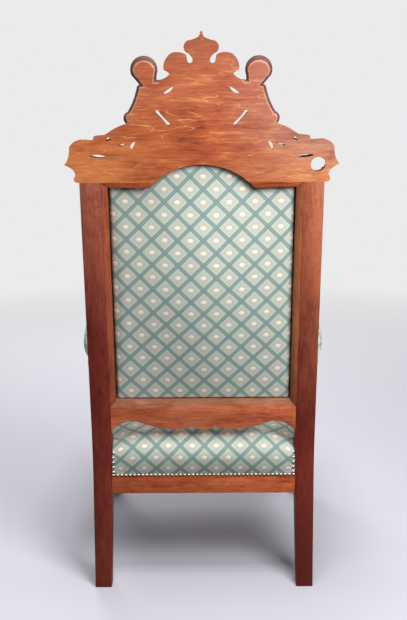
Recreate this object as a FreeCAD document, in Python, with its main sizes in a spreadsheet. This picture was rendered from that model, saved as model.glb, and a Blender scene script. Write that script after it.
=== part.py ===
import FreeCAD, Part
import math
import os
import re
import Sketcher
from FreeCAD import Placement, Rotation, Vector

# Carved oak armchair, millimetres. The chair faces -Y, +Z is up, the floor is Z = 0.
# The back leans as one group: its own axes are x across, n to the rear and u up along the back,
# with u = 0 at the bend of the posts.

SIZES = {
    # whole chair
    "chair_width": 600,
    "bend_height": 375,
    "back_rake": 5.5,
    "leg_splay": 6.8,
    "joint_clearance": 0.2,
    "soft_clearance": 0.3,
    "cut_margin": 1,
    # back posts
    "back_height": 750,
    "post_width": 52,
    "post_depth": 40,
    "post_seat_depth": 48,
    "post_seat_rise": 25,
    "post_seat_foot": 20,
    "post_front_start": 60,
    "post_foot_width": 45,
    "post_foot_depth": 40,
    "post_taper_rise": 65,
    "post_bend_run": 90,
    "crest_tenon_height": 22,
    "crest_tenon_width": 40,
    "crest_tenon_depth": 14,
    # crest board
    "crest_depth": 40,
    "arch_half_width": 115.5,
    "arch_rise": 43.5,
    "boss_hole_x": 282.5,
    "boss_hole_v": 43,
    "boss_hole_radius": 18,
    # beads round the rear of the back opening
    "bead_width": 15,
    "bead_depth": 30,
    "bead_bevel": 12,
    # lower back rail
    "back_rail_top": 156,
    "back_rail_end": 68,
    "back_rail_inset": 2,
    "back_rail_depth": 36,
    "back_rail_bevel": 13,
    "scallop_x": 176,
    "scallop_u": 98,
    "scallop_lobe_x": 75,
    "scallop_lobe_u": 76,
    "scallop_cusp_x": 31,
    "scallop_cusp_u": 85,
    "scallop_middle_u": 75,
    "scallop_end_rise": 12,
    "scallop_flank_rise": 5,
    "scallop_lobe_rise": 4,
    "scallop_middle_rise": 3,
    # seat rails
    "rail_drop": 111,
    "rail_show": 52,
    "rail_lip": 26,
    "rail_rebate": 8,
    "rail_thick": 30,
    "rail_inset": 6,
    "rear_rail_rear": 6,
    "tenon_length": 28,
    "tenon_thick": 12,
    "tenon_shoulder": 9,
    "tenon_root": 5,
    "apron_end_drop": 8,
    "apron_high_rise": 4,
    "apron_lobe_drop": 22,
    "apron_cusp_drop": 16,
    "apron_middle_drop": 23,
    "apron_end_arc": 7,
    "apron_flank_arc": 4,
    "apron_middle_arc": 3,
    # front legs with arm supports
    "front_width": 652,
    "leg_setback": 575,
    "leg_block": 52,
    "leg_block_margin": 8,
    "foot_radius": 20,
    "foot_ball_bulge": 9,
    "foot_height": 52,
    "ankle_radius": 14,
    "ring_height": 12,
    "ring_radius": 19,
    "vase_low_radius": 15,
    "vase_top_radius": 17,
    "vase_bulge": 12,
    "vase_top_gap": 30,
    "support_low_radius": 20,
    "support_low_height": 16,
    "support_low_bulge": 4,
    "turning_cove": 3,
    "support_waist_radius": 12,
    "support_bulge": 7,
    "support_top_gap": 58,
    "support_cap_radius": 20,
    "leg_tenon_radius": 10,
    "leg_tenon_height": 18,
    # arms
    "arm_rise": 227,
    "arm_thick": 30,
    "arm_width": 48,
    "arm_bow": 12,
    "arm_scroll_radius": 26,
    "arm_scroll_sweep": 245,
    "arm_overhang": 76,
    "arm_tenon_width": 16,
    "arm_tenon_height": 18,
    "arm_tenon_length": 24,
    "arm_tenon_root": 8,
    "arm_post_lap": 20,
    # arm pads
    "arm_pad_start": 78,
    "arm_pad_end": 468,
    "arm_pad_width": 80,
    "arm_pad_height": 80,
    "arm_pad_end_inset": 12,
    "arm_pad_side_bulge": 7,
    "arm_pad_crown": 12,
    # corner blocks
    "block_leg": 72,
    "block_height": 40,
    "block_gap": 0.5,
    # seat upholstery
    "webbing_width": 50,
    "webbing_thick": 2,
    "seat_webbing_pitch": 96,
    "hessian_thick": 1.5,
    "seat_pad_inset": 1,
    "seat_pad_bulge": 4,
    "seat_pad_corner": 24,
    "seat_edge_height": 60,
    "seat_edge_round": 26,
    "seat_crown_height": 120,
    # back upholstery
    "back_webbing_pitch": 112,
    "back_webbing_lap": 7,
    "back_upright_pitch": 116,
    "back_crown_fall": 0.94,
    "rear_pad_gap": 2,
    "rear_pad_rim": 6,
    "rear_pad_crown": 38,
    "front_pad_lap": 11,
    "front_pad_rim": 14,
    "front_pad_crown": 26,
}

# Half outline of the crest board from its lower edge to its tip. Points of the ear are measured
# across from the outer face of the post, the others from the middle; v is up from the post's top.
# The third value is the rise of the arc to the next point, outward positive.
EAR_POINTS = {
    "toe_low": (6, 0, 5.5),
    "toe_high": (8.5, 16, -4.5),
    "ear_under": (24, 38.5, -1),
    "ear_tip": (34.5, 43.5, -2),
    "ear_waist": (21.5, 71.5, 0),
    "ear_shoulder": (20, 87.5, 6.5),
    "ear_top": (-14, 101.5, 0),
    "step_low": (-37, 101.5, 0),
    "step_high": (-39.5, 112, 0),
    "ledge_out": (-63.5, 114, 0),
    "ledge_in": (-73, 120, 2.5),
}
BODY_POINTS = {
    "hip_notch": (180.5, 142, 8.5),
    "body": (176.5, 170.5, -2.5),
    "shoulder": (153.5, 225.5, 2),
    "neck": (146.5, 234, 0),
    "head_out": (165, 256, 44.4),
    "head_in": (105.5, 256, 0),
    "head_join": (106, 245, -4.5),
    "notch_tip": (75, 259, -1),
    "lobe_low": (88.5, 268, 21.5),
    "lobe_end": (35.5, 302, 0),
    "keyhole_out": (33, 290.5, -8),
    "keyhole_in": (20.5, 291.5, -2),
    "crown_low": (31.5, 306, 12.5),
    "crown_high": (26, 335, -0.8),
    "tip_neck": (7, 342.5, -1),
    "tip_side": (3.5, 352, 0),
}
TIP_RISE = 3.1

# Pierced frets, each a closed ring of (across, v, rise); the ear frets are measured from the post.
BODY_FRETS = {
    "crescent": [(91, 213, 1.5), (67, 230, 6)],
    "bone": [(110, 169.5, 3), (104, 174.5, -1.5), (77, 144, 3.5), (83, 138.5, -1.5)],
    "slit": [(203, 92, -0.5), (186, 96, 5)],
    "drop": [(171, 79, 6), (160, 100, 1)],
}
EAR_FRETS = {
    "trefoil": [(-75, 111.5, 0), (-82.5, 105.5, 0), (-67, 100, 0)],
    "eye": [(-27, 66, 4), (-70, 63, 4.5)],
}

for name, (across, up, rise) in {**EAR_POINTS, **BODY_POINTS}.items():
    SIZES[name + "_x"] = across
    SIZES[name + "_v"] = up
    SIZES[name + "_rise"] = rise
SIZES["tip_rise"] = TIP_RISE
for name, ring in {**BODY_FRETS, **EAR_FRETS}.items():
    for number, (across, up, rise) in enumerate(ring, start=1):
        SIZES[f"fret_{name}_{number}_x"] = across
        SIZES[f"fret_{name}_{number}_v"] = up
        SIZES[f"fret_{name}_{number}_rise"] = rise

# Heights that follow the bend of the posts
FOLLOWING = {
    "rail_bottom": "(bend_height - rail_drop)",
    "arm_bottom": "(bend_height + arm_rise)",
    "post_taper_top": "(bend_height + post_taper_rise)",
    "post_seat_top": "(bend_height + post_seat_rise)",
}

doc = FreeCAD.newDocument("armchair")
sheet = doc.addObject("Spreadsheet::Sheet", "Sizes")
for row, (alias, number) in enumerate(SIZES.items(), start=1):
    sheet.set(f"A{row}", alias)
    sheet.set(f"B{row}", str(number))
    sheet.setAlias(f"B{row}", alias)
doc.recompute()


def full(text):
    """Expression with following heights written out and each size name pointed at its cell in the sheet."""
    word = r"[a-z][a-z0-9_]*"
    text = re.sub(word, lambda found: FOLLOWING.get(found[0], found[0]), str(text))
    return re.sub(word, lambda found: "Sizes." + found[0] if found[0] in SIZES else found[0], text)


def value(text):
    """Present number of an expression."""
    return float(sheet.evalExpression(full(text)))


def bind(obj, **texts):
    """Bind properties of an object to expressions."""
    for name, text in texts.items():
        obj.setExpression(name, full(text))


# Places shared by several pieces, as expressions
HALF = "(chair_width / 2)"
POST_IN = "(chair_width / 2 - post_width)"
BEAD_IN = "(chair_width / 2 - post_width - bead_width)"
RAIL_MID = "(rail_bottom + rail_show)"
RAIL_TOP = "(rail_bottom + rail_show + rail_lip)"
LEG_X = "(front_width / 2 - leg_block / 2)"
LEG_REAR = "(-leg_setback + leg_block / 2)"
FRONT_FACE = "(-leg_setback - leg_block / 2 + rail_inset)"
ARM_TOP = "(arm_bottom + arm_thick)"
CREST_TIP = "(back_height + tip_side_v + tip_rise)"
SHIFT_Y = f"((leg_setback + arm_overhang - {CREST_TIP} * sin(back_rake)) / 2)"


def post_inner(z):
    """Inner face of a back post at height z; it tapers towards the foot."""
    return f"({POST_IN} + (post_width - post_foot_width) * (post_taper_top - ({z})) / post_taper_top)"


def raked(n, u):
    """Seat-frame (y, z) of a place (n, u) on the leaning back."""
    y = f"(({n}) * cos(back_rake) + ({u}) * sin(back_rake))"
    z = f"(bend_height + ({u}) * cos(back_rake) - ({n}) * sin(back_rake))"
    return y, z


def post_front(z):
    """Seat-frame y of the leaning front face of the posts at height z."""
    return f"((({z}) - bend_height - post_depth * sin(back_rake)) * tan(back_rake) - post_depth * cos(back_rake))"


def side_rail_x(y):
    """Outer face of the left side rail at depth y; the seat widens towards the front."""
    rear = f"({HALF} - rail_inset)"
    front = "(front_width / 2 - rail_inset)"
    run = f"(({y}) + post_seat_depth) / ({LEG_REAR} + post_seat_depth)"
    return f"({rear} + ({front} - {rear}) * {run})"


def place(obj, frame="seat", x="0", y="0", z="0"):
    """Bind an object's Placement to a point of the seat frame or of the leaning back frame."""
    if frame == "back":
        y, z = raked(y, z)
        obj.Placement = Placement(Vector(), Rotation(Vector(1, 0, 0), -value("back_rake")))
        obj.setExpression("Placement.Rotation.Angle", full("-back_rake"))
    obj.setExpression("Placement.Base.x", full(x))
    obj.setExpression("Placement.Base.y", full(f"{SHIFT_Y} + {y}"))
    obj.setExpression("Placement.Base.z", full(z))
    return obj


def new_body(label, frame="seat", **corner):
    """PartDesign body placed in one of the two frames."""
    body = doc.addObject("PartDesign::Body", label)
    return place(body, frame, **corner)


def new_sketch(body, plane, offset="0"):
    """Sketch on one of the body's own origin planes, moved along its normal."""
    sketch = body.newObject("Sketcher::SketchObject", body.Label + "_outline")
    support = [feature for feature in body.Origin.OriginFeatures if feature.Role == plane][0]
    sketch.AttachmentSupport = [(support, "")]
    sketch.MapMode = "FlatFace"
    sketch.setExpression("AttachmentOffset.Base.z", full(offset))
    return sketch


def arc_through(start, rise, end):
    """Arc from start to end whose middle lies 'rise' to the right of the chord, drawn counter-clockwise."""
    chord = end - start
    side = Vector(chord.y, -chord.x, 0).normalize()
    middle = (start + end) * 0.5 + side * rise
    curve = Part.Arc(start, middle, end).toShape().Curve
    centre = curve.Center
    first, last = (start, end) if rise > 0 else (end, start)
    angles = [math.atan2(point.y - centre.y, point.x - centre.x) for point in (first, last)]
    if angles[1] < angles[0]:
        angles[1] += 2 * math.pi
    return Part.ArcOfCircle(Part.Circle(centre, Vector(0, 0, 1), curve.Radius), *angles)


def draw(sketch, outline):
    """Closed outline of (across, up, rise) expressions, each point and arc held by bound constraints."""
    first = sketch.GeometryCount
    count = len(outline)
    points = [Vector(value(across), value(up), 0) for across, up, _ in outline]
    rises = [value(rise) for _, _, rise in outline]
    for index, rise in enumerate(rises):
        start, end = points[index], points[(index + 1) % count]
        curve = arc_through(start, rise, end) if rise else Part.LineSegment(start, end)
        sketch.addGeometry(curve)
    constraints = []
    texts = {}
    for index, (across, up, rise) in enumerate(outline):
        after = (index + 1) % count
        here = first + index
        head = 1 if rises[index] >= 0 else 2
        tail = 3 - head
        next_head = 1 if rises[after] >= 0 else 2
        constraints.append(Sketcher.Constraint("Coincident", here, tail, first + after, next_head))
        texts[len(constraints)] = across
        constraints.append(Sketcher.Constraint("DistanceX", -1, 1, here, head, points[index].x))
        texts[len(constraints)] = up
        constraints.append(Sketcher.Constraint("DistanceY", -1, 1, here, head, points[index].y))
        if rises[index]:
            next_across, next_up, _ = outline[after]
            chord = f"((({next_across}) - ({across}))^2 + (({next_up}) - ({up}))^2)"
            texts[len(constraints)] = f"{chord} / (8 * abs({rise})) + abs({rise}) / 2"
            radius = sketch.Geometry[here].Radius
            constraints.append(Sketcher.Constraint("Radius", here, radius))
    numbers = sketch.addConstraint(constraints)
    for index, text in texts.items():
        sketch.setExpression(f"Constraints[{numbers[index]}]", full(text))


def pad(body, plane, outlines, length, offset="0"):
    """Pad of one or more closed outlines along the plane's normal (+X, -Y or +Z)."""
    sketch = new_sketch(body, plane, offset)
    for outline in outlines:
        draw(sketch, outline)
    feature = body.newObject("PartDesign::Pad", body.Label + "_pad")
    feature.Profile = sketch
    bind(feature, Length=length)
    sketch.Visibility = False
    return feature


def pocket(body, plane, outlines, length, offset="0"):
    """Pocket of closed outlines along the plane's normal (+X, -Y or +Z)."""
    sketch = new_sketch(body, plane, offset)
    for outline in outlines:
        draw(sketch, outline)
    feature = body.newObject("PartDesign::Pocket", body.Label + "_pocket")
    feature.Profile = sketch
    feature.Reversed = True
    bind(feature, Length=length)
    sketch.Visibility = False
    return feature


def ring(*points):
    """Outline of straight lines."""
    return [(across, up, "0") for across, up in points]


def rectangle(low, high):
    """Outline of a rectangle from its low corner to its high corner."""
    return ring(low, (high[0], low[1]), high, (low[0], high[1]))


def block(label, low, high, frame="seat", grow="0"):
    """Part::Box between two corners, grown on all sides."""
    box = doc.addObject("Part::Box", label)
    corner = [f"{a} - {grow}" for a in low]
    place(box, frame, *corner)
    names = ("Length", "Width", "Height")
    bind(box, **{name: f"({b}) - ({a}) + 2 * {grow}" for name, a, b in zip(names, low, high)})
    return box


def joined(label, base, extras):
    """Union of a piece with its tenons."""
    union = doc.addObject("Part::MultiFuse", label)
    union.Shapes = [base] + extras
    union.Refine = True
    return union


def cut(label, base, tools):
    """A piece with its mortises cut."""
    tool = tools[0]
    if len(tools) > 1:
        tool = doc.addObject("Part::MultiFuse", label + "_tools")
        tool.Shapes = tools
    result = doc.addObject("Part::Cut", label)
    result.Base = base
    result.Tool = tool
    return result


def mirrored(label, source):
    """Right-hand twin of a left-hand piece."""
    twin = doc.addObject("Part::Mirroring", label)
    twin.Source = source
    twin.Normal = Vector(1, 0, 0)
    return twin


def group(label, pieces):
    """Several separate solids as one piece."""
    compound = doc.addObject("Part::Compound", label)
    compound.Links = pieces
    return compound


def solid(label, shape, frame="seat"):
    """Feature with a computed shape, placed in one of the two frames."""
    feature = doc.addObject("Part::Feature", label)
    feature.Shape = shape
    return place(feature, frame)


NODES = []


def finish(feature):
    """Keep a feature as one of the chair's pieces."""
    NODES.append(feature)
    return feature


# Tenons, each as the two corners of a box; the mortises are the same boxes grown by the clearance.
post_top_mid = f"({HALF} - post_width / 2)"
crest_tenon = (
    (f"({post_top_mid} - crest_tenon_width / 2)", "(-post_depth / 2 - crest_tenon_depth / 2)", "(back_height - tenon_root)"),
    (f"({post_top_mid} + crest_tenon_width / 2)", "(-post_depth / 2 + crest_tenon_depth / 2)",
     "(back_height + crest_tenon_height)"),
)
back_rail_mid = "(-back_rail_inset - back_rail_depth / 2)"
back_rail_tenon = (
    (f"({POST_IN} - tenon_root)", f"({back_rail_mid} - tenon_thick / 2)", "(back_rail_end + tenon_shoulder)"),
    (f"({POST_IN} + tenon_length)", f"({back_rail_mid} + tenon_thick / 2)",
     "(back_rail_top - back_rail_bevel - tenon_shoulder)"),
)
rear_rail_mid = "(rear_rail_rear - rail_thick / 2 - rail_rebate / 2)"
rear_rail_tenon = (
    (f"({POST_IN} - tenon_root)", f"({rear_rail_mid} - tenon_thick / 2)", "(rail_bottom + tenon_shoulder)"),
    (f"({POST_IN} + tenon_length)", f"({rear_rail_mid} + tenon_thick / 2)", f"({RAIL_TOP} - tenon_shoulder)"),
)
side_rear_mid = f"({side_rail_x('-post_seat_depth')} - rail_thick / 2 - rail_rebate / 2)"
side_rear_tenon = (
    (f"({side_rear_mid} - tenon_thick / 2)", "(-post_seat_depth - tenon_root)", "(rail_bottom + tenon_shoulder)"),
    (f"({side_rear_mid} + tenon_thick / 2)", "(-post_seat_depth + tenon_length / 2)", f"({RAIL_TOP} - tenon_shoulder)"),
)
side_front_mid = f"({side_rail_x(LEG_REAR)} - rail_thick / 2 - rail_rebate / 2)"
side_front_tenon = (
    (f"({side_front_mid} - tenon_thick / 2)", f"({LEG_REAR} - tenon_length / 2)", "(rail_bottom + tenon_shoulder)"),
    (f"({side_front_mid} + tenon_thick / 2)", f"({LEG_REAR} + tenon_root)", f"({RAIL_TOP} - tenon_shoulder)"),
)
front_rail_mid = f"({FRONT_FACE} + rail_thick / 2 + rail_rebate / 2)"
front_rail_tenon = (
    (f"({LEG_X} - leg_block / 2 - tenon_root)", f"({front_rail_mid} - tenon_thick / 2)", "(rail_bottom + tenon_shoulder)"),
    (f"({LEG_X} - leg_block / 2 + tenon_length)", f"({front_rail_mid} + tenon_thick / 2)",
     f"({RAIL_TOP} - tenon_shoulder)"),
)
arm_rear_y = post_front("arm_bottom + arm_thick / 2")
arm_mid_x = f"({HALF} - arm_width / 2)"
arm_mid_z = "(arm_bottom + arm_thick / 2)"
arm_tenon = (
    (f"({arm_mid_x} - arm_tenon_width / 2)", f"({arm_rear_y} - arm_tenon_root)", f"({arm_mid_z} - arm_tenon_height / 2)"),
    (f"({arm_mid_x} + arm_tenon_width / 2)", f"({arm_rear_y} + arm_tenon_length)",
     f"({arm_mid_z} + arm_tenon_height / 2)"),
)


def flipped(corners):
    """The same box on the other side of the chair."""
    (x0, y0, z0), (x1, y1, z1) = corners
    return (f"(-{x1})", y0, z0), (f"(-{x0})", y1, z1)


# Back posts: side profile, taper on the inner face, tenon on top, four mortises
half_turn = "((back_rake + leg_splay) / 2)"
bend_rise = f"(post_bend_run * (1 - cos({half_turn})) / tan({half_turn}))"
foot_rear = "(bend_height * tan(leg_splay))"
profile = [
    (foot_rear, "0", "0"),
    ("post_bend_run * sin(leg_splay)", "bend_height - post_bend_run * cos(leg_splay)", f"-{bend_rise}"),
    (*raked("0", "post_bend_run"), "0"),
    (*raked("0", "back_height"), "0"),
    (*raked("-post_depth", "back_height"), "0"),
    (*raked("-post_depth", "post_front_start"), "0"),
    ("-post_seat_depth", "post_seat_top", "0"),
    ("-post_seat_depth", "rail_bottom - post_seat_foot", "0"),
    (f"{foot_rear} - post_foot_depth", "0", "0"),
]
post_body = new_body("post_blank")
pad(post_body, "YZ_Plane", [profile], "post_width", POST_IN)
below_foot = "-cut_margin"
taper = ring((POST_IN, below_foot), (post_inner(below_foot), below_foot), (POST_IN, "post_taper_top"))
pocket(post_body, "XZ_Plane", [taper], "chair_width", "-chair_width / 2")
post_union = joined("post_tenoned", post_body, [block("post_tenon", *crest_tenon, frame="back")])
post_mortises = [
    block("post_mortise_back_rail", *back_rail_tenon, frame="back", grow="joint_clearance"),
    block("post_mortise_rear_rail", *rear_rail_tenon, grow="joint_clearance"),
    block("post_mortise_side_rail", *side_rear_tenon, grow="joint_clearance"),
    block("post_mortise_arm", *arm_tenon, grow="joint_clearance"),
]
post_left = finish(cut("back_post_left", post_union, post_mortises))
finish(mirrored("back_post_right", post_left))

# Crest board: sawn outline, frets, the plain bored hole on the right, two mortises
right_half = [(f"{HALF} + {name}_x", f"back_height + {name}_v", f"{name}_rise") for name in EAR_POINTS]
right_half += [(f"{name}_x", f"back_height + {name}_v", f"{name}_rise") for name in BODY_POINTS]
left_half = []
for index in range(len(right_half) - 1, -1, -1):
    across, up, _ = right_half[index]
    rise = right_half[index - 1][2] if index else "0"
    left_half.append((f"-({across})", up, rise))
right_half[-1] = (*right_half[-1][:2], "tip_rise")
arch_left = ("-arch_half_width", "back_height", "-arch_rise")
arch_right = ("arch_half_width", "back_height", "0")
crest_outline = [arch_right] + right_half + left_half + [arch_left]
crest_body = new_body("crest_blank", "back")
pad(crest_body, "XZ_Plane", [crest_outline], "crest_depth")
frets = []
for name, points in {**BODY_FRETS, **EAR_FRETS}.items():
    base = HALF if name in EAR_FRETS else "0"
    outline = []
    for number in range(1, len(points) + 1):
        key = f"fret_{name}_{number}"
        outline.append((f"{base} + {key}_x", f"back_height + {key}_v", f"{key}_rise"))
    frets.append(outline)
    other = []
    for index in range(len(outline) - 1, -1, -1):
        across, up, _ = outline[index]
        other.append((f"-({across})", up, outline[index - 1][2]))
    frets.append(other)
pocket(crest_body, "XZ_Plane", frets, "crest_depth + 2 * cut_margin", "-cut_margin")
bore = crest_body.newObject("Sketcher::SketchObject", "crest_bore_outline")
bore.AttachmentSupport = [([f for f in crest_body.Origin.OriginFeatures if f.Role == "XZ_Plane"][0], "")]
bore.MapMode = "FlatFace"
bore.setExpression("AttachmentOffset.Base.z", full("-cut_margin"))
bore_centre = Vector(-value("boss_hole_x"), value("back_height + boss_hole_v"), 0)
bore.addGeometry(Part.Circle(bore_centre, Vector(0, 0, 1), value("boss_hole_radius")))
numbers = bore.addConstraint([
    Sketcher.Constraint("DistanceX", -1, 1, 0, 3, bore_centre.x),
    Sketcher.Constraint("DistanceY", -1, 1, 0, 3, bore_centre.y),
    Sketcher.Constraint("Radius", 0, value("boss_hole_radius")),
])
for number, text in zip(numbers, ("-boss_hole_x", "back_height + boss_hole_v", "boss_hole_radius")):
    bore.setExpression(f"Constraints[{number}]", full(text))
bore_cut = crest_body.newObject("PartDesign::Pocket", "crest_bore")
bore_cut.Profile = bore
bore_cut.Reversed = True
bind(bore_cut, Length="crest_depth + 2 * cut_margin")
crest_mortises = [
    block("crest_mortise_left", *crest_tenon, frame="back", grow="joint_clearance"),
    block("crest_mortise_right", *flipped(crest_tenon), frame="back", grow="joint_clearance"),
]
finish(cut("crest_board", crest_body, crest_mortises))

# Lower back rail: scalloped lower edge, bevelled top edge, mitred top corners for the beads
scallops = [
    (f"-{POST_IN}", "back_rail_end", "-scallop_end_rise"),
    ("-scallop_x", "scallop_u", "scallop_flank_rise"),
    ("-scallop_lobe_x", "scallop_lobe_u", "scallop_lobe_rise"),
    ("-scallop_cusp_x", "scallop_cusp_u", "scallop_middle_rise"),
    ("0", "scallop_middle_u", "scallop_middle_rise"),
    ("scallop_cusp_x", "scallop_cusp_u", "scallop_lobe_rise"),
    ("scallop_lobe_x", "scallop_lobe_u", "scallop_flank_rise"),
    ("scallop_x", "scallop_u", "-scallop_end_rise"),
]
upper_edge = ring(
    (POST_IN, "back_rail_end"),
    (POST_IN, "back_rail_top - back_rail_bevel"),
    (BEAD_IN, "back_rail_top"),
    (f"-{BEAD_IN}", "back_rail_top"),
    (f"-{POST_IN}", "back_rail_top - back_rail_bevel"),
)
back_rail_body = new_body("lower_back_rail_blank", "back")
pad(back_rail_body, "XZ_Plane", [scallops + upper_edge], "back_rail_depth", "back_rail_inset")
bevel_cut = ring(
    ("cut_margin", "back_rail_top - back_rail_bevel"),
    ("cut_margin", "back_rail_top + cut_margin"),
    ("-back_rail_inset - bead_bevel", "back_rail_top + cut_margin"),
    ("-back_rail_inset - bead_bevel", "back_rail_top"),
    ("-back_rail_inset", "back_rail_top - back_rail_bevel"),
)
pocket(back_rail_body, "YZ_Plane", [bevel_cut], f"2 * {HALF}", f"-{HALF}")
back_rail_tenons = [
    block("back_rail_tenon_left", *back_rail_tenon, frame="back"),
    block("back_rail_tenon_right", *flipped(back_rail_tenon), frame="back"),
]
finish(joined("lower_back_rail", back_rail_body, back_rail_tenons))

# Beads: bevelled strips, mitred where they meet
side_bead = ring(
    (POST_IN, "back_rail_top - back_rail_bevel"),
    (POST_IN, "back_height"),
    (BEAD_IN, "back_height - bead_width"),
    (BEAD_IN, "back_rail_top"),
)
side_bead_body = new_body("bead_side_left", "back")
pad(side_bead_body, "XZ_Plane", [side_bead], "bead_depth")
past_bead = f"({BEAD_IN} - cut_margin)"
side_bevel = ring((POST_IN, "0"), (BEAD_IN, "-bead_bevel"), (past_bead, "-bead_bevel"), (past_bead, "cut_margin"))
pocket(side_bead_body, "XY_Plane", [side_bevel], "back_height + post_width")
finish(side_bead_body)
finish(mirrored("bead_side_right", side_bead_body))
arch_radius = "((arch_half_width^2 + arch_rise^2) / (2 * arch_rise))"
arch_centre = f"(back_height + arch_rise - {arch_radius})"
arch_low = f"sqrt({arch_radius}^2 - (back_height - bead_width - {arch_centre})^2)"
top_bead = ring((POST_IN, "back_height"), ("arch_half_width", "back_height"), (arch_low, "back_height - bead_width"),
                (BEAD_IN, "back_height - bead_width"))
top_bead_body = new_body("bead_top_left", "back")
pad(top_bead_body, "XZ_Plane", [top_bead], "bead_depth")
under_bead = "(back_height - bead_width - cut_margin)"
top_bevel = ring(("0", "back_height"), ("-bead_bevel", "back_height - bead_width"), ("-bead_bevel", under_bead),
                 ("cut_margin", under_bead))
pocket(top_bead_body, "YZ_Plane", [top_bevel], HALF)
finish(top_bead_body)
finish(mirrored("bead_top_right", top_bead_body))

# Rear seat rail: show face below, rebated lip above, ends cut to the tapering posts
rear_rail_body = new_body("rear_seat_rail_blank")
low, mid, high = "rail_bottom", RAIL_MID, RAIL_TOP
rear_show = ring((f"-{post_inner(low)}", low), (post_inner(low), low), (post_inner(mid), mid), (f"-{post_inner(mid)}", mid))
rear_lip = ring((f"-{post_inner(mid)}", mid), (post_inner(mid), mid), (post_inner(high), high),
                (f"-{post_inner(high)}", high))
pad(rear_rail_body, "XZ_Plane", [rear_show], "rail_thick", "-rear_rail_rear")
pad(rear_rail_body, "XZ_Plane", [rear_lip], "rail_thick - rail_rebate", "-rear_rail_rear + rail_rebate")
finish(joined("rear_seat_rail", rear_rail_body, [
    block("rear_rail_tenon_left", *rear_rail_tenon),
    block("rear_rail_tenon_right", *flipped(rear_rail_tenon)),
]))

# Front seat rail: the same section with a scalloped apron
front_in = f"({LEG_X} - leg_block / 2)"
apron_low = "(rail_bottom - apron_end_drop)"
apron_high = "(rail_bottom + apron_high_rise)"
front_show = [
    (f"-{front_in}", apron_low, "-apron_end_arc"),
    ("-scallop_x", apron_high, "apron_flank_arc"),
    ("-scallop_lobe_x", "rail_bottom - apron_lobe_drop", "apron_flank_arc"),
    ("-scallop_cusp_x", "rail_bottom - apron_cusp_drop", "apron_middle_arc"),
    ("0", "rail_bottom - apron_middle_drop", "apron_middle_arc"),
    ("scallop_cusp_x", "rail_bottom - apron_cusp_drop", "apron_flank_arc"),
    ("scallop_lobe_x", "rail_bottom - apron_lobe_drop", "apron_flank_arc"),
    ("scallop_x", apron_high, "-apron_end_arc"),
    (front_in, apron_low, "0"),
    (front_in, RAIL_MID, "0"),
    (f"-{front_in}", RAIL_MID, "0"),
]
front_rail_body = new_body("front_seat_rail_blank")
pad(front_rail_body, "XZ_Plane", [front_show], "rail_thick", f"-({FRONT_FACE} + rail_thick)")
front_lip = rectangle((f"-{front_in}", RAIL_MID), (front_in, RAIL_TOP))
pad(front_rail_body, "XZ_Plane", [front_lip], "rail_thick - rail_rebate", f"-({FRONT_FACE} + rail_thick)")
finish(joined("front_seat_rail", front_rail_body, [
    block("front_rail_tenon_left", *front_rail_tenon),
    block("front_rail_tenon_right", *flipped(front_rail_tenon)),
]))

# Side seat rails: splayed in plan, square shoulders against the posts and legs
rear_out = side_rail_x("-post_seat_depth")
front_out = side_rail_x(LEG_REAR)
side_show = ring((f"{rear_out} - rail_thick", "-post_seat_depth"), (f"{front_out} - rail_thick", LEG_REAR),
                 (front_out, LEG_REAR), (rear_out, "-post_seat_depth"))
side_lip = ring((f"{rear_out} - rail_thick", "-post_seat_depth"), (f"{front_out} - rail_thick", LEG_REAR),
                (f"{front_out} - rail_rebate", LEG_REAR), (f"{rear_out} - rail_rebate", "-post_seat_depth"))
side_rail_body = new_body("side_seat_rail_blank")
pad(side_rail_body, "XY_Plane", [side_show], "rail_show", "rail_bottom")
pad(side_rail_body, "XY_Plane", [side_lip], "rail_lip", RAIL_MID)
side_rail = finish(joined("side_seat_rail_left", side_rail_body, [
    block("side_rail_tenon_rear", *side_rear_tenon),
    block("side_rail_tenon_front", *side_front_tenon),
]))
finish(mirrored("side_seat_rail_right", side_rail))

# Front legs: turned foot and vase, square block at the rails, turned arm support, round tenon on top
block_low = "(rail_bottom - leg_block_margin - apron_end_drop)"
block_high = f"({RAIL_TOP} + leg_block_margin)"
vase_low = "(foot_height + ring_height)"
vase_high = f"({block_low} - vase_top_gap)"
support_low = f"({block_high} + support_low_height)"
support_high = "(arm_bottom - support_top_gap)"
turning = [
    ("0", "0", "0"),
    ("foot_radius", "0", "foot_ball_bulge"),
    ("ankle_radius", "foot_height", "0"),
    ("ring_radius", "foot_height", "ring_height / 3"),
    ("ring_radius", vase_low, "0"),
    ("vase_low_radius", vase_low, "vase_bulge"),
    ("vase_top_radius", vase_high, "-turning_cove"),
    ("ring_radius", f"{block_low} - ring_height", "ring_height / 3"),
    ("ring_radius", block_low, "0"),
    ("support_low_radius", block_low, "0"),
    ("support_low_radius", block_high, "support_low_bulge"),
    ("support_low_radius", support_low, "0"),
    ("support_waist_radius", support_low, "support_bulge"),
    ("support_waist_radius", support_high, "0"),
    ("ring_radius", support_high, "ring_height / 3"),
    ("ring_radius", f"{support_high} + ring_height", "0"),
    ("support_waist_radius", f"{support_high} + ring_height", "-turning_cove"),
    ("support_cap_radius", "arm_bottom - ring_height", "ring_height / 4"),
    ("support_cap_radius", "arm_bottom", "0"),
    ("leg_tenon_radius", "arm_bottom", "0"),
    ("leg_tenon_radius", "arm_bottom + leg_tenon_height", "0"),
    ("0", "arm_bottom + leg_tenon_height", "0"),
]
leg_body = new_body("front_leg_blank", x=LEG_X, y="-leg_setback")
leg_sketch = new_sketch(leg_body, "XZ_Plane")
draw(leg_sketch, turning)
leg_turned = leg_body.newObject("PartDesign::Revolution", "front_leg_turned")
leg_turned.Profile = leg_sketch
leg_turned.ReferenceAxis = (leg_sketch, ["V_Axis"])
leg_turned.Angle = 360
square = rectangle(("-leg_block / 2", "-leg_block / 2"), ("leg_block / 2", "leg_block / 2"))
pad(leg_body, "XY_Plane", [square], f"{block_high} - {block_low}", block_low)
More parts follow.
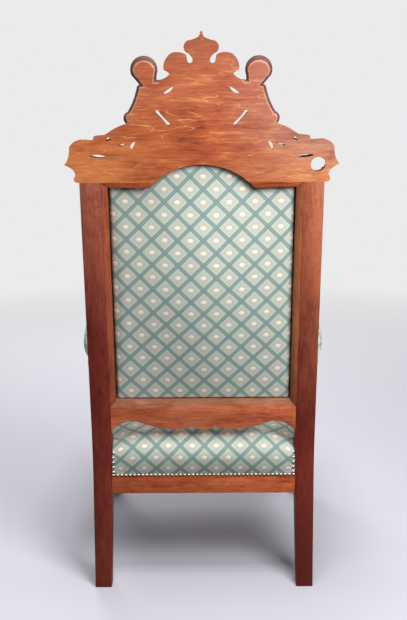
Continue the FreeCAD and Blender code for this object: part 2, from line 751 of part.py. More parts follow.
leg_left = finish(cut("front_leg_left", leg_body, [
    block("leg_mortise_front", *front_rail_tenon, grow="joint_clearance"),
    block("leg_mortise_side", *side_front_tenon, grow="joint_clearance"),
]))
finish(mirrored("front_leg_right", leg_left))

# Arms: bowed in plan, scrolled over in front, tenoned into the post and bored for the leg
arm_rear_edge = f"({post_front(ARM_TOP)} + arm_post_lap)"
arm_front_edge = "(-leg_setback - arm_overhang - cut_margin)"
arm_plan = [
    (f"{arm_mid_x} - arm_width / 2", arm_rear_edge, "-arm_bow"),
    (f"{LEG_X} - arm_width / 2", "-leg_setback", "0"),
    (f"{LEG_X} - arm_width / 2", arm_front_edge, "0"),
    (f"{LEG_X} + arm_width / 2", arm_front_edge, "0"),
    (f"{LEG_X} + arm_width / 2", "-leg_setback", "arm_bow"),
    (f"{arm_mid_x} + arm_width / 2", arm_rear_edge, "0"),
]
arm_plan_body = new_body("arm_plan")
pad(arm_plan_body, "XY_Plane", [arm_plan], "4 * arm_thick", "arm_bottom - 2 * arm_thick")
scroll_y = "(-leg_setback - arm_overhang + arm_scroll_radius)"
scroll_end_y = f"({scroll_y} + arm_scroll_radius * cos(90 + arm_scroll_sweep))"
scroll_end_z = f"({ARM_TOP} - arm_scroll_radius + arm_scroll_radius * sin(90 + arm_scroll_sweep))"
arm_side = [
    (post_front("arm_bottom"), "arm_bottom", "0"),
    (post_front(ARM_TOP), ARM_TOP, "0"),
    (scroll_y, ARM_TOP, "arm_scroll_radius * (1 - cos(arm_scroll_sweep / 2))"),
    (scroll_end_y, scroll_end_z, "0"),
    (scroll_end_y, "arm_bottom", "0"),
]
arm_side_body = new_body("arm_side")
pad(arm_side_body, "YZ_Plane", [arm_side], "front_width")
arm_blank = doc.addObject("Part::MultiCommon", "arm_blank")
arm_blank.Shapes = [arm_plan_body, arm_side_body]
arm_union = joined("arm_tenoned", arm_blank, [block("arm_tenon", *arm_tenon)])
arm_bore = doc.addObject("Part::Cylinder", "arm_bore")
bind(arm_bore, Radius="leg_tenon_radius + joint_clearance", Height="leg_tenon_height + joint_clearance + cut_margin")
place(arm_bore, "seat", LEG_X, "-leg_setback", "arm_bottom - cut_margin")
arm_left = finish(cut("arm_left", arm_union, [arm_bore]))
finish(mirrored("arm_right", arm_left))

# Corner blocks, glued into the angles of the seat frame
block_base = "(rail_bottom + (rail_show - block_height) / 2)"


def side_rail_inside(y):
    """Inner face of the left side rail at depth y."""
    return f"({side_rail_x(y)} - rail_thick)"


front_inside = f"({FRONT_FACE} + rail_thick)"
front_block = ring((f"{front_in} - block_leg", front_inside), (front_in, front_inside), (front_in, LEG_REAR),
                   (side_rail_inside(LEG_REAR), LEG_REAR),
                   (side_rail_inside(f"{LEG_REAR} + block_leg"), f"{LEG_REAR} + block_leg"))
front_block_body = new_body("corner_block_front_left")
pad(front_block_body, "XY_Plane", [front_block], "block_height", block_base)
finish(front_block_body)
finish(mirrored("corner_block_front_right", front_block_body))
rear_inside = "(rear_rail_rear - rail_thick)"
post_clear = f"({post_inner(f'{block_base} + block_height')} - block_gap)"
rear_block = ring((f"{post_clear} - block_leg", rear_inside), (post_clear, rear_inside),
                  (post_clear, "-post_seat_depth"), (side_rail_inside("-post_seat_depth"), "-post_seat_depth"),
                  (side_rail_inside("-post_seat_depth - block_leg"), "-post_seat_depth - block_leg"))
rear_block_body = new_body("corner_block_rear_left")
pad(rear_block_body, "XY_Plane", [rear_block], "block_height", block_base)
finish(rear_block_body)
finish(mirrored("corner_block_rear_right", rear_block_body))

# Seat webbing over the rails, straps across first and lengthwise straps on them
seat_mid_y = f"(({rear_inside} + {front_inside}) / 2)"
lip_rear = "(rear_rail_rear - rail_rebate)"
lip_front = f"({FRONT_FACE} + rail_rebate)"
across_straps = []
long_straps = []
for step in range(-2, 3):
    y = f"({seat_mid_y} + {step} * seat_webbing_pitch)"
    y_low, y_high = f"({y} - webbing_width / 2)", f"({y} + webbing_width / 2)"
    reach = f"({side_rail_x(y_high)} - rail_rebate)"
    across_straps.append(block(f"seat_strap_across_{step + 3}", (f"-{reach}", y_low, RAIL_TOP),
                               (reach, y_high, f"({RAIL_TOP} + webbing_thick)")))
    x = f"({step} * seat_webbing_pitch)"
    long_straps.append(block(f"seat_strap_long_{step + 3}",
                             (f"({x} - webbing_width / 2)", lip_front, f"({RAIL_TOP} + webbing_thick)"),
                             (f"({x} + webbing_width / 2)", lip_rear, f"({RAIL_TOP} + 2 * webbing_thick)")))
finish(group("seat_webbing_across", across_straps))
finish(group("seat_webbing_long", long_straps))

# Hessian over the webbing, notched round the posts and legs
HESSIAN_LOW = f"({RAIL_TOP} + 2 * webbing_thick)"
HESSIAN_TOP = f"({HESSIAN_LOW} + hessian_thick)"
post_notch_x = f"({POST_IN} - soft_clearance)"
post_notch_y = "(-post_seat_depth - soft_clearance)"
leg_notch_x = f"({front_in} - soft_clearance)"
leg_notch_y = f"({LEG_REAR} + soft_clearance)"


def lip_x(y):
    """Outer face of the left side rail's lip at depth y."""
    return f"({side_rail_x(y)} - rail_rebate)"


hessian_half = [
    (leg_notch_x, lip_front),
    (leg_notch_x, leg_notch_y),
    (lip_x(leg_notch_y), leg_notch_y),
    (lip_x(post_notch_y), post_notch_y),
    (post_notch_x, post_notch_y),
    (post_notch_x, lip_rear),
]
hessian_ring = ring(*hessian_half, *[(f"-{x}", y) for x, y in reversed(hessian_half)])
hessian_body = new_body("seat_hessian")
pad(hessian_body, "XY_Plane", [hessian_ring], "hessian_thick", HESSIAN_LOW)
finish(hessian_body)


def rounded_trapezoid(z, grow):
    """Wire of the seat's plan at height z, grown outwards, with round corners."""
    rear = value("rear_rail_rear - seat_pad_inset") + grow
    front = value(f"{FRONT_FACE} + seat_pad_inset") - grow
    rear_x = value(f"{side_rail_x('rear_rail_rear')} - seat_pad_inset") + grow
    front_x = value(f"{side_rail_x(FRONT_FACE)} - seat_pad_inset") + grow
    corners = [Vector(front_x, front, z), Vector(rear_x, rear, z), Vector(-rear_x, rear, z), Vector(-front_x, front, z)]
    radius = value("seat_pad_corner")
    edges = []
    starts = []
    for index, corner in enumerate(corners):
        before = (corners[index - 1] - corner).normalize()
        after = (corners[(index + 1) % 4] - corner).normalize()
        inward = (before + after).normalize()
        half = before.getAngle(after) / 2
        run = radius / math.tan(half)
        centre = corner + inward * (radius / math.sin(half))
        starts.append((corner + before * run, centre - inward * radius, corner + after * run))
    for index, (begin, middle, end) in enumerate(starts):
        edges.append(Part.Arc(begin, middle, end).toShape())
        edges.append(Part.LineSegment(end, starts[(index + 1) % 4][0]).toShape())
    return Part.Wire(edges)


def prism(outline, start, length, axis):
    """Solid of a straight outline in the plane square to an axis, for cutting."""
    points = {"z": [Vector(a, b, start) for a, b in outline], "y": [Vector(a, start, b) for a, b in outline]}[axis]
    face = Part.Face(Part.makePolygon(points + points[:1]))
    return face.extrude({"z": Vector(0, 0, length), "y": Vector(0, length, 0)}[axis])


# Seat pad: crowned over the hessian, with a skirt down the rebate of the rails, cut round posts and legs
pad_base = value(RAIL_MID)
edge_height = value("seat_edge_height")
edge_round = value("seat_edge_round")
crown_height = value("seat_crown_height")
seat_bulge = value("seat_pad_bulge")
seat_sections = [
    (0, 0),
    (edge_height * 0.35, seat_bulge * 0.7),
    (edge_height * 0.75, seat_bulge * 0.7),
    (edge_height + edge_round * 0.3, -edge_round * 0.15),
    (edge_height + edge_round * 0.9, -edge_round * 0.75),
    (edge_height + edge_round * 1.4, -edge_round * 1.7),
    (crown_height * 0.9, -edge_round * 3.0),
    (crown_height * 0.97, -edge_round * 4.7),
    (crown_height, -edge_round * 6.6),
]
wires = [rounded_trapezoid(pad_base + rise, grow) for rise, grow in seat_sections]
seat_shape = Part.makeLoft(wires, True)
cavity = [(value(x), value(y)) for x, y in [
    (f"{lip_x(LEG_REAR)} + soft_clearance", f"{lip_front} - soft_clearance"),
    (f"{lip_x('-post_seat_depth')} + soft_clearance", f"{lip_rear} + soft_clearance")]]
(front_lip_x, front_lip_y), (rear_lip_x, rear_lip_y) = cavity
cavity_ring = [(front_lip_x, front_lip_y), (rear_lip_x, rear_lip_y), (-rear_lip_x, rear_lip_y),
               (-front_lip_x, front_lip_y)]
cavity_top = value(f"{HESSIAN_TOP} + soft_clearance")
under_pad = pad_base - value("rail_lip")
seat_shape = seat_shape.cut(prism(cavity_ring, under_pad, cavity_top - under_pad, "z"))
reach = value("front_width")
for sign in (1, -1):
    post_box = [(sign * value(post_notch_x), value(post_notch_y)), (sign * reach, value(post_notch_y)),
                (sign * reach, reach), (sign * value(post_notch_x), reach)]
    leg_box = [(sign * value(leg_notch_x), value(leg_notch_y)), (sign * reach, value(leg_notch_y)),
               (sign * reach, -2 * reach), (sign * value(leg_notch_x), -2 * reach)]
    for outline in (post_box, leg_box):
        seat_shape = seat_shape.cut(prism(outline, under_pad, reach, "z"))
finish(solid("seat_pad", seat_shape))

# Back webbing: straps across on the front of the posts, upright straps on them
across_straps = []
upright_straps = []
back_mid_u = "((back_rail_top + back_height) / 2)"
strap_reach = f"({POST_IN} + back_webbing_lap)"
for step in range(-2, 3):
    u = f"({back_mid_u} + {step} * back_webbing_pitch)"
    across_straps.append(block(f"back_strap_across_{step + 3}",
                               (f"-{strap_reach}", "(-post_depth - webbing_thick)", f"({u} - webbing_width / 2)"),
                               (strap_reach, "(-post_depth)", f"({u} + webbing_width / 2)"), frame="back"))
for step in range(-1, 2):
    x = f"({step} * back_upright_pitch)"
    top = "(back_height + back_webbing_lap)" if step else "(back_height + arch_rise + back_webbing_lap)"
    upright_straps.append(block(
        f"back_strap_upright_{step + 2}",
        (f"({x} - webbing_width / 2)", "(-post_depth - 2 * webbing_thick)", "(back_rail_top - back_webbing_lap)"),
        (f"({x} + webbing_width / 2)", "(-post_depth - webbing_thick)", top), frame="back"))
finish(group("back_webbing_across", across_straps))
finish(group("back_webbing_upright", upright_straps))


def back_prism(half_width, low, top, grow, start, length):
    """Prism of the back opening's outline, straight sided with an arched top, grown outwards."""
    radius = value(arch_radius) + grow
    centre_u = value(arch_centre)
    half_chord = math.sqrt(radius ** 2 - (top - centre_u) ** 2)
    points = [(-half_chord, top), (-half_width, top), (-half_width, low), (half_width, low), (half_width, top),
              (half_chord, top)]
    corners = [Vector(x, start, u) for x, u in points]
    arch = Part.Arc(corners[-1], Vector(0, start, centre_u + radius), corners[0]).toShape()
    face = Part.Face(Part.Wire(Part.makePolygon(corners).Edges + [arch]))
    return face.extrude(Vector(0, length, 0))


# Places of a slab's sections up the back, from its foot to its head
SLAB_STATIONS = (-1, -2 / 3, -1 / 3, 0, 1 / 3, 2 / 3, 1)


def crowned_slab(half_width, low, high, base, rim, crown):
    """Slab from base to rim whose outer face is crowned across and up the back; crown's sign sets the side."""
    wires = []
    for along in SLAB_STATIONS:
        rise = crown * (1 - value("back_crown_fall") * along ** 2)
        u = (low + high) / 2 + (high - low) / 2 * along
        left, right = Vector(-half_width, rim, u), Vector(half_width, rim, u)
        arc = Part.Arc(left, Vector(0, rim + rise, u), right).toShape()
        feet = Part.makePolygon([right, Vector(half_width, base, u), Vector(-half_width, base, u), left])
        wires.append(Part.Wire([arc] + feet.Edges))
    return Part.makeLoft(wires, True)


# Rear back pad: bulges to the rear inside the beads
frame_front = -value("post_depth")
soft_gap = value("soft_clearance")
arch_top = value("back_height + arch_rise")
rear_gap = value("rear_pad_gap")
rear_half = value(BEAD_IN) - rear_gap
rear_low = value("back_rail_top") + rear_gap
rear_top = value("back_height - bead_width") - rear_gap
rear_slab = crowned_slab(rear_half, rear_low, arch_top, frame_front + soft_gap,
                         frame_front + value("rear_pad_rim"), value("rear_pad_crown"))
margin = value("cut_margin")
rear_prism = back_prism(rear_half, rear_low, rear_top, -rear_gap, frame_front - margin, reach)
finish(solid("back_pad_rear", rear_slab.common(rear_prism), "back"))

# Front back pad: crowned to the front over the webbing, lapping the frame
front_lap = value("front_pad_lap")
front_half = value(POST_IN) + front_lap
front_low = value("back_rail_top") - front_lap
front_top = value("back_height") + front_lap
front_slab = crowned_slab(front_half, front_low, arch_top + front_lap, frame_front - soft_gap,
                          frame_front - value("front_pad_rim"), -value("front_pad_crown"))
front_prism = back_prism(front_half, front_low, front_top, front_lap, frame_front + margin, -reach)
front_shape = front_slab.common(front_prism)
strap_reach_now = value(strap_reach) + soft_gap
strap_half = value("webbing_width") / 2 + soft_gap
strap_depth = 2 * value("webbing_thick") + 2 * soft_gap
straps = []
for step in range(-2, 3):
    u = value(f"{back_mid_u} + {step} * back_webbing_pitch")
    straps.append([(-strap_reach_now, u - strap_half), (strap_reach_now, u - strap_half),
                   (strap_reach_now, u + strap_half), (-strap_reach_now, u + strap_half)])
for step in range(-1, 2):
    x = value(f"{step} * back_upright_pitch")
    low_u = value("back_rail_top - back_webbing_lap") - soft_gap
    top_u = value("back_height + back_webbing_lap") + soft_gap
    if step == 0:
        top_u += value("arch_rise")
    straps.append([(x - strap_half, low_u), (x + strap_half, low_u), (x + strap_half, top_u), (x - strap_half, top_u)])
for outline in straps:
    front_shape = front_shape.cut(prism(outline, frame_front + margin, -strap_depth - margin, "y"))
finish(solid("back_pad_front", front_shape, "back"))


def arm_middle(y):
    """Middle of the left arm at depth y, on its bowed line."""
    rear_y, front_y = value(arm_rear_edge), -value("leg_setback")
    part = (y - rear_y) / (front_y - rear_y)
    straight = value(arm_mid_x) + (value(LEG_X) - value(arm_mid_x)) * part
    return straight + value("arm_bow") * (1 - (2 * part - 1) ** 2)


def arm_pad_section(y, inset):
    """Wire across the arm pad: flat below, swelling sides and a crowned top."""
    middle = arm_middle(y)
    half = value("arm_pad_width") / 2 - inset
    base = value("arm_bottom") + value("soft_clearance")
    bulge = value("arm_pad_side_bulge")
    crown = value("arm_pad_crown")
    side_top = value("arm_bottom + arm_pad_height") - crown - inset
    right_low, right_high = Vector(middle + half - bulge, y, base), Vector(middle + half - bulge, y, side_top)
    left_low, left_high = Vector(middle - half + bulge, y, base), Vector(middle - half + bulge, y, side_top)
    middle_z = (base + side_top) / 2
    edges = [
        Part.LineSegment(left_low, right_low).toShape(),
        Part.Arc(right_low, Vector(middle + half, y, middle_z), right_high).toShape(),
        Part.Arc(right_high, Vector(middle, y, side_top + crown), left_high).toShape(),
        Part.Arc(left_high, Vector(middle - half, y, middle_z), left_low).toShape(),
    ]
    return Part.Wire(edges)


# Arm pads: stuffed rolls over the arms, closed below at the arm's underside
doc.recompute()
pad_start, pad_end = -value("arm_pad_start"), -value("arm_pad_end")
inset = value("arm_pad_end_inset")
run = pad_end - pad_start
arm_wires = [arm_pad_section(pad_start + run * part, inset * (2 * part - 1) ** 8) for part in
             (0, 0.05, 0.15, 0.35, 0.65, 0.85, 0.95, 1)]
arm_pad_shape = Part.makeLoft(arm_wires, True)
arm_here = arm_left.Shape.copy()
arm_here.translate(Vector(0, -value(SHIFT_Y), 0))
arm_pad = finish(solid("arm_pad_left", arm_pad_shape.cut(arm_here)))
finish(mirrored("arm_pad_right", arm_pad))

# Check every object, then write one STEP file for each piece
doc.recompute()
for obj in doc.Objects:
    if "Invalid" in obj.State or "Error" in obj.State:
        raise RuntimeError(f"{obj.Label}: {obj.getStatusString()}")
os.makedirs("parts", exist_ok=True)
for node in NODES:
    shape = node.Shape
    if shape.isNull() or not shape.isValid():
        raise RuntimeError(f"{node.Label}: shape is not valid")
    print(node.Label, len(shape.Solids), round(shape.Volume), shape.BoundBox)
    shape.exportStep(f"parts/{node.Label}.step")
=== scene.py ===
import math
from functools import partial
from math import pi

import bmesh
import bpy
import numpy as np
from mathutils import Matrix, Vector


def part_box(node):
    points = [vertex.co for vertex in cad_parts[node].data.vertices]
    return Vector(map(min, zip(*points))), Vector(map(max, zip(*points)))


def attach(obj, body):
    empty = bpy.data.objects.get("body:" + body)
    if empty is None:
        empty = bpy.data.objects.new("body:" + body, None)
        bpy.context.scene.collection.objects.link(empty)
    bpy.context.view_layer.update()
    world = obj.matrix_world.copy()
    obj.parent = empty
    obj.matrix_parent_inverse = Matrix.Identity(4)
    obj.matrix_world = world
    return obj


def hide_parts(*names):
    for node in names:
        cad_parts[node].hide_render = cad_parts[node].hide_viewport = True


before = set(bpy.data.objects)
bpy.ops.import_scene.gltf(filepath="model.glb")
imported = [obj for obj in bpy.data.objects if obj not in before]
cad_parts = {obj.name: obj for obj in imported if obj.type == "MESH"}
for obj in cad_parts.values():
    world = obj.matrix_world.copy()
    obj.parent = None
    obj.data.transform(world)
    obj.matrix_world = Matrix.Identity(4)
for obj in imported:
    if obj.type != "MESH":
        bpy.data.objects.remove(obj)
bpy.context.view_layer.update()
scene = bpy.context.scene
scene.view_settings.view_transform = "Standard"

# Sizes of the chair in millimetres. The seat frame has y behind the bend of the posts and z above the floor.
# The back frame leans with the back: n to the rear, u up along it from the bend, v up from the crest's foot.
MM = 0.001
RAKE = math.radians(5.5)
REAR = Vector((0, math.cos(RAKE), -math.sin(RAKE)))
BEND_HEIGHT = 375.0
REAR_RAIL_STEP = 6.0
BEND_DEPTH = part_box("rear_seat_rail")[1][1] / MM - REAR_RAIL_STEP
POST_IN, POST_TAPER, POST_TAPER_TOP, POST_FRONT = 248.0, 7.0, 440.0, -48.0
BEAD_IN, BEAD_WIDTH = 233.0, 15.0
BACK_FRONT = -40.0
CREST_FOOT = 750.0
ARCH_RADIUS, ARCH_CENTRE = 175.1, 618.4
HEAD_X, HEAD_V = 135.3, 268.0
BORE_X, BORE_V = 282.5, 43.0
LEG_X, LEG_Y, LEG_BLOCK = 300.0, -575.0, 52.0
LEG_REAR = LEG_Y + LEG_BLOCK / 2
ARM_BOTTOM, ARM_TOP = 602.0, 632.0
ARM_MIDDLE_REAR, ARM_REAR, ARM_BOW = 276.0, 4.6, 12.0
ARM_PAD_REAR, ARM_PAD_LENGTH = -78.0, 390.0
SEAT_EDGE, SEAT_ROLL, SEAT_DROP, SEAT_FOOT = 432.0, 58.0, 57.0, 317.0
SEAT_REAR, SEAT_FRONT = 5.0, -594.0
SEAT_POWER, SEAT_CORNER = 2.2, 28.0
TRELLIS_PITCH, BAND_SPACING = 64.6, 45.7
SIDES = {"left": 1, "right": -1}


def seat_frame(x, y, z):
    """Metres in the shared frame of places (x, y, z) measured in millimetres from the bend of the posts."""
    return np.stack(np.broadcast_arrays(x, np.add(y, BEND_DEPTH), z), -1) * MM


def back_frame(x, n, u):
    """Metres in the shared frame of places on the leaning back: y = n cos + u sin, z = bend + u cos - n
    sin."""
    n, u = np.asarray(n, float), np.asarray(u, float)
    y = n * math.cos(RAKE) + u * math.sin(RAKE)
    return seat_frame(x, y, BEND_HEIGHT + u * math.cos(RAKE) - n * math.sin(RAKE))


def arch_top(x, radius, shoulder):
    """Upper edge of the back opening at x: the arch of that radius above the level shoulders."""
    return np.maximum(shoulder, ARCH_CENTRE + np.sqrt(np.maximum(radius ** 2 - np.square(x), 0.0)))


def linear(colour):
    """Linear RGBA of an sRGB hex colour."""
    parts = np.array([int(colour[i:i + 2], 16) for i in (1, 3, 5)]) / 255.0
    parts = np.where(parts <= 0.04045, parts / 12.92, ((parts + 0.055) / 1.055) ** 2.4)
    return (*parts.tolist(), 1.0)


def assign(thing, **settings):
    """Set properties of a thing by name."""
    for name, setting in settings.items():
        setattr(thing, name, setting)


def stand(name, data):
    """New object in the scene."""
    made = bpy.data.objects.new(name, data)
    scene.collection.objects.link(made)
    return made


def feed(made, inputs):
    """Give a node's sockets, by name or in order, their values or link them to the outputs that feed them."""
    for socket, given in inputs.items() if isinstance(inputs, dict) else enumerate(inputs):
        if isinstance(given, bpy.types.NodeSocket):
            made.id_data.links.new(given, made.inputs[socket])
        else:
            made.inputs[socket].default_value = given


def node(tree, kind, inputs=(), ramp=(), out=0, **settings):
    """Add a shader node with its properties, inputs and colour stops; gives that output, or all for None."""
    made = tree.nodes.new("ShaderNode" + kind)
    assign(made, **settings)
    feed(made, inputs)
    for index, (place, colour) in enumerate(ramp):
        stops = made.color_ramp.elements
        stop = stops[index] if index < 2 else stops.new(place)
        stop.position = place
        stop.color = linear(colour)
    return made.outputs if out is None else made.outputs[out]


def new_material(name):
    """Empty node material, what adds a node to it, and its Principled shader."""
    made = bpy.data.materials.new(name)
    made.use_nodes = True
    return made, partial(node, made.node_tree), made.node_tree.nodes["Principled BSDF"]


def wave_scale(spacing):
    """Scale at which a wave texture, which draws sin(20 scale x), has bands that many millimetres apart."""
    return 2 * pi / 20 / (spacing * MM)


def oak(name, grain, colours, fleck, fleck_colour, stops=(0.38, 0.46, 0.54, 0.64), heights=(), blended_in=(),
        gloss=1.0, ripple=0.0):
    """Quarter-sawn oak under thin old varnish: long fibres along the grain axis, darker pores, and the silky
    wavering flecks of cut medullary rays. Heights multiply it between foot and top, darker and redder
    towards the foot. Each overlay lays a colour over it from one x to another and from one z to another:
    sun-fading and wear from one side on some, painted sheen, highlight and shade on others. Ripple is how
    strongly dark curl lies across the grain of an upright's upper part."""
    made, add, shader = new_material(name)
    colours = colours.split()
    place = add("TexCoord", out="Object")

    def drawn_out(share):
        scale = [1.0, 1.0, 1.0]
        scale[grain] = share
        return add("Mapping", {"Vector": place, "Scale": scale})

    grained, rays, boards = drawn_out(0.08), drawn_out(0.17), drawn_out(0.4)
    # fibre bundles 5 mm and pores 1.6 mm across, both drawn about twice as coarse as oak's so that they show
    fibre = add("TexNoise", {"Vector": grained, "Scale": 1 / 0.005, "Detail": 5.0, "Roughness": 0.72,
                             "Distortion": 0.6})
    pores = add("TexNoise", {"Vector": grained, "Scale": 1 / 0.0016, "Detail": 2.0})
    # the board's colour varies over about 50 mm
    board = add("TexNoise", {"Vector": boards, "Scale": 1 / 0.05, "Detail": 5.0, "Roughness": 0.66,
                             "Distortion": 0.8})
    tone = add("Math", [fibre, board], operation="ADD")
    tone = add("Math", [tone, 0.5], operation="MULTIPLY")
    colour = add("ValToRGB", {"Fac": tone}, zip(stops, colours))
    # rays: thin contour lines of a 24 mm noise, in patches of about 40 mm
    waver = add("TexNoise", {"Vector": rays, "Scale": 1 / 0.024, "Detail": 2.0, "Distortion": 0.5})
    line = add("Math", [waver, 0.5, 0.009], operation="COMPARE")
    patch = add("TexNoise", {"Vector": rays, "Scale": 1 / 0.04, "Detail": 1.0})
    patch = add("MapRange", [patch, 0.4, 0.55, 0.0, fleck])
    line = add("Math", [line, patch], operation="MULTIPLY")
    pitted = add("MapRange", [pores, 0.56, 0.7, 0.0, 0.5])
    layers = [(line, fleck_colour), (pitted, colours[0])]
    spot = add("SeparateXYZ", [place], out=None)
    if ripple:
        # curl 6 mm apart and some 30 mm long, from 0.9 m up
        curled = add("Mapping", {"Vector": place, "Scale": (0.2, 0.2, 1.0)})
        curl = add("TexNoise", {"Vector": curled, "Scale": 1 / 0.006, "Detail": 2.0})
        curl = add("MapRange", [curl, 0.46, 0.62, 0.0, ripple])
        upper = add("MapRange", [spot["Z"], 0.88, 1.06])
        curl = add("Math", [curl, upper], operation="MULTIPLY")
        layers.append((curl, colours[0]))
    for part, over in layers:
        colour = add("Mix", {0: part, 6: colour, 7: linear(over)}, data_type="RGBA", out=2)
    if heights:
        level = add("MapRange", [spot["Z"], 0.0, 1.2])
        shade = add("ValToRGB", {"Fac": level}, heights)
        colour = add("Mix", {0: 1.0, 6: colour, 7: shade}, data_type="RGBA", blend_type="MULTIPLY", out=2)
    uneven = add("MapRange", [tone, 0.4, 0.58, 0.45, 1.0])
    # overlays: sun-fading and wear on some, painted sheen, highlight and shade on others
    for fade_and_painted_light_colour, (from_x, to_x), (from_z, to_z), most in blended_in:
        fade_and_painted_light_share = add("MapRange", [spot["X"], from_x, to_x, 0.0, most])
        high = add("MapRange", [spot["Z"], from_z, to_z])
        for share in (high, uneven):
            fade_and_painted_light_share = add("Math", [fade_and_painted_light_share, share], operation="MULTIPLY")
        colour = add("Mix", {0: fade_and_painted_light_share, 6: colour, 7: linear(fade_and_painted_light_colour)}, data_type="RGBA", out=2)
    rough = add("MapRange", [tone, 0.35, 0.65, 0.62, 0.42])
    dent = add("Math", [fibre, pitted], operation="SUBTRACT")
    bump = add("Bump", {"Height": dent, "Strength": 0.3, "Distance": 0.0006})
    feed(shader, {"Base Color": colour, "Roughness": rough, "Normal": bump, "IOR": 1.5,
                  "Specular IOR Level": 0.2 * gloss, "Coat Weight": 0.04 * gloss, "Coat Roughness": 0.35})
    return made


def trellis_cloth():
    """Woven furnishing cloth with a diamond trellis: grey-teal bands with darker edges, a sage border inside
    each diamond, a beige field and a cream dot; the ribbed weave breaks the colour and keeps it matt."""
    made, add, shader = new_material("trellis_cloth")
    place = add("UVMap", uv_map="surface")
    # turned 45 degrees, one unit is the space between two bands
    turn, unit = (0.0, 0.0, pi / 4), 1 / (BAND_SPACING * MM)
    turned = add("Mapping", {"Vector": place, "Rotation": turn, "Scale": (unit, unit, 1.0)})
    cell = add("SeparateXYZ", [turned], out=None)
    near, inside = [], []
    for axis in "XY":
        off = add("Math", [cell[axis], 0.5], operation="PINGPONG")
        near.append(add("Math", [off, BAND_SPACING], operation="MULTIPLY"))
        inside.append(add("Math", [cell[axis], 1.0, 0.0], operation="WRAP"))
    band = add("Math", [near[0], near[1]], operation="MINIMUM")
    far = add("Math", [near[0], near[1]], operation="MAXIMUM")
    across = add("MapRange", [band, 0.0, 24.0])
    stops = [(0.0, "#a3b6ad"), (0.05, "#90a69e"), (0.11, "#97aca4"), (0.15, "#7d948d"), (0.178, "#869c94"),
             (0.208, "#cbd9d0"), (0.32, "#cfdbd1"), (0.42, "#d1d4c8"), (0.55, "#d5d4c5"), (0.8, "#d1cdbc"),
             (1.0, "#cbc6b1")]
    colour = add("ValToRGB", {"Fac": across}, stops)
    crossing = add("MapRange", [far, 6.0, 4.5, 0.0, 0.55])
    # millimetres from the middle of the diamond, turned back upright; the dot is a third wider than high
    inside = add("CombineXYZ", [inside[0], inside[1]])
    oval = add("Mapping", {"Vector": inside, "Location": (0.5, 0.5, 0.0), "Rotation": turn,
                           "Scale": (1.35 / BAND_SPACING, 1 / BAND_SPACING, 1.0)}, vector_type="TEXTURE")
    radius = add("VectorMath", [oval], operation="LENGTH", out="Value")
    # a faint taupe ring round each dot: partly the cloth's own colour, partly painted shade round the raised
    # knot
    dot_ring_and_shade = add("MapRange", [radius, 8.0, 5.6, 0.0, 0.25])
    dot = add("MapRange", [radius, 6.2, 4.4])
    # threads 2.6 mm apart and 6 mm slubs, drawn about four times as coarse as the cloth's so that they show
    threads = [add("TexWave", {"Vector": place, "Scale": wave_scale(2.565)}, out="Fac",
                   bands_direction=way) for way in "XY"]
    weave = add("Math", [threads[0], threads[1]], operation="MULTIPLY")
    slub = add("TexNoise", {"Vector": place, "Scale": 1 / 0.006, "Detail": 3.0, "Roughness": 0.7})
    tint = add("Math", [weave, slub], operation="ADD")
    tint = add("MapRange", [tint, 0.35, 1.15, 0.0, 0.24])
    for part, over in ((crossing, "#819a9a"), (dot_ring_and_shade, "#b3ab95"), (tint, "#66726f"), (dot, "#f8f4e3")):
        colour = add("Mix", {0: part, 6: colour, 7: linear(over)}, data_type="RGBA", out=2)
    bump = add("Bump", {"Height": weave, "Strength": 0.25, "Distance": 0.0004})
    # each dot is a knot that stands 0.4 mm proud
    knot = add("MapRange", [radius, 6.2, 0.0], interpolation_type="SMOOTHSTEP")
    bump = add("Bump", {"Height": knot, "Distance": 0.0004, "Normal": bump})
    rough = add("MapRange", [slub, 0.3, 0.7, 0.8, 0.95])
    feed(shader, {"Base Color": colour, "Roughness": rough, "Normal": bump, "Sheen Weight": 0.15,
                  "Specular IOR Level": 0.25})
    return made


def jute(name, light, dark, thread):
    """Plain-woven jute: hairy fawn yarn over and under, quite without gloss. Its yarns lie thread
    millimetres apart, about twice as coarse as the real ones so that they show."""
    made, add, shader = new_material(name)
    place = add("TexCoord", out="Object")
    warp, weft, upright = (add("TexWave", {"Vector": place, "Scale": wave_scale(thread)}, out="Fac",
                               bands_direction=way) for way in "XYZ")
    cross = add("Math", [weft, upright], operation="MULTIPLY")
    weave = add("Math", [warp, cross], operation="SUBTRACT")
    hair = add("TexNoise", {"Vector": place, "Scale": 1 / 0.006, "Detail": 6.0})
    tone = add("Math", [weave, hair], operation="ADD")
    tone = add("MapRange", [tone, -0.3, 1.6])
    colour = add("ValToRGB", {"Fac": tone}, [(0.0, dark), (1.0, light)])
    bump = add("Bump", {"Height": weave, "Strength": 0.5, "Distance": 0.0006})
    rough = add("MapRange", [hair, 0.0, 1.0, 0.85, 1.0])
    feed(shader, {"Base Color": colour, "Roughness": rough, "Normal": bump})
    return made


def nail_brass():
    """Domed antique-brass nails, tarnished in 5 mm patches; pale on the upper half as painted highlight and
    dark on the lower half as painted shade. The UV map runs up each nail."""
    made, add, shader = new_material("antique_brass_painted_light")
    place = add("TexCoord", out="Object")
    up = add("UVMap", uv_map="surface")
    up = add("SeparateXYZ", [up], out="X")
    # by height on the nail: painted shade below, painted highlight above
    stops = [(0.0, "#24160f"), (0.42, "#4a3122"), (0.58, "#c3b09f"), (0.82, "#e2d4c8"), (1.0, "#86694f")]
    colour = add("ValToRGB", {"Fac": up}, stops)
    tarnish = add("TexNoise", {"Vector": place, "Scale": 1 / 0.005, "Detail": 3.0})
    dull = add("MapRange", [tarnish, 0.5, 0.75, 0.0, 0.35])
    colour = add("Mix", {0: dull, 6: colour, 7: linear("#7a6344")}, data_type="RGBA", out=2)
    rough = add("MapRange", [tarnish, 0.3, 0.7, 0.3, 0.5])
    feed(shader, {"Base Color": colour, "Roughness": rough, "Metallic": 1.0})
    return made


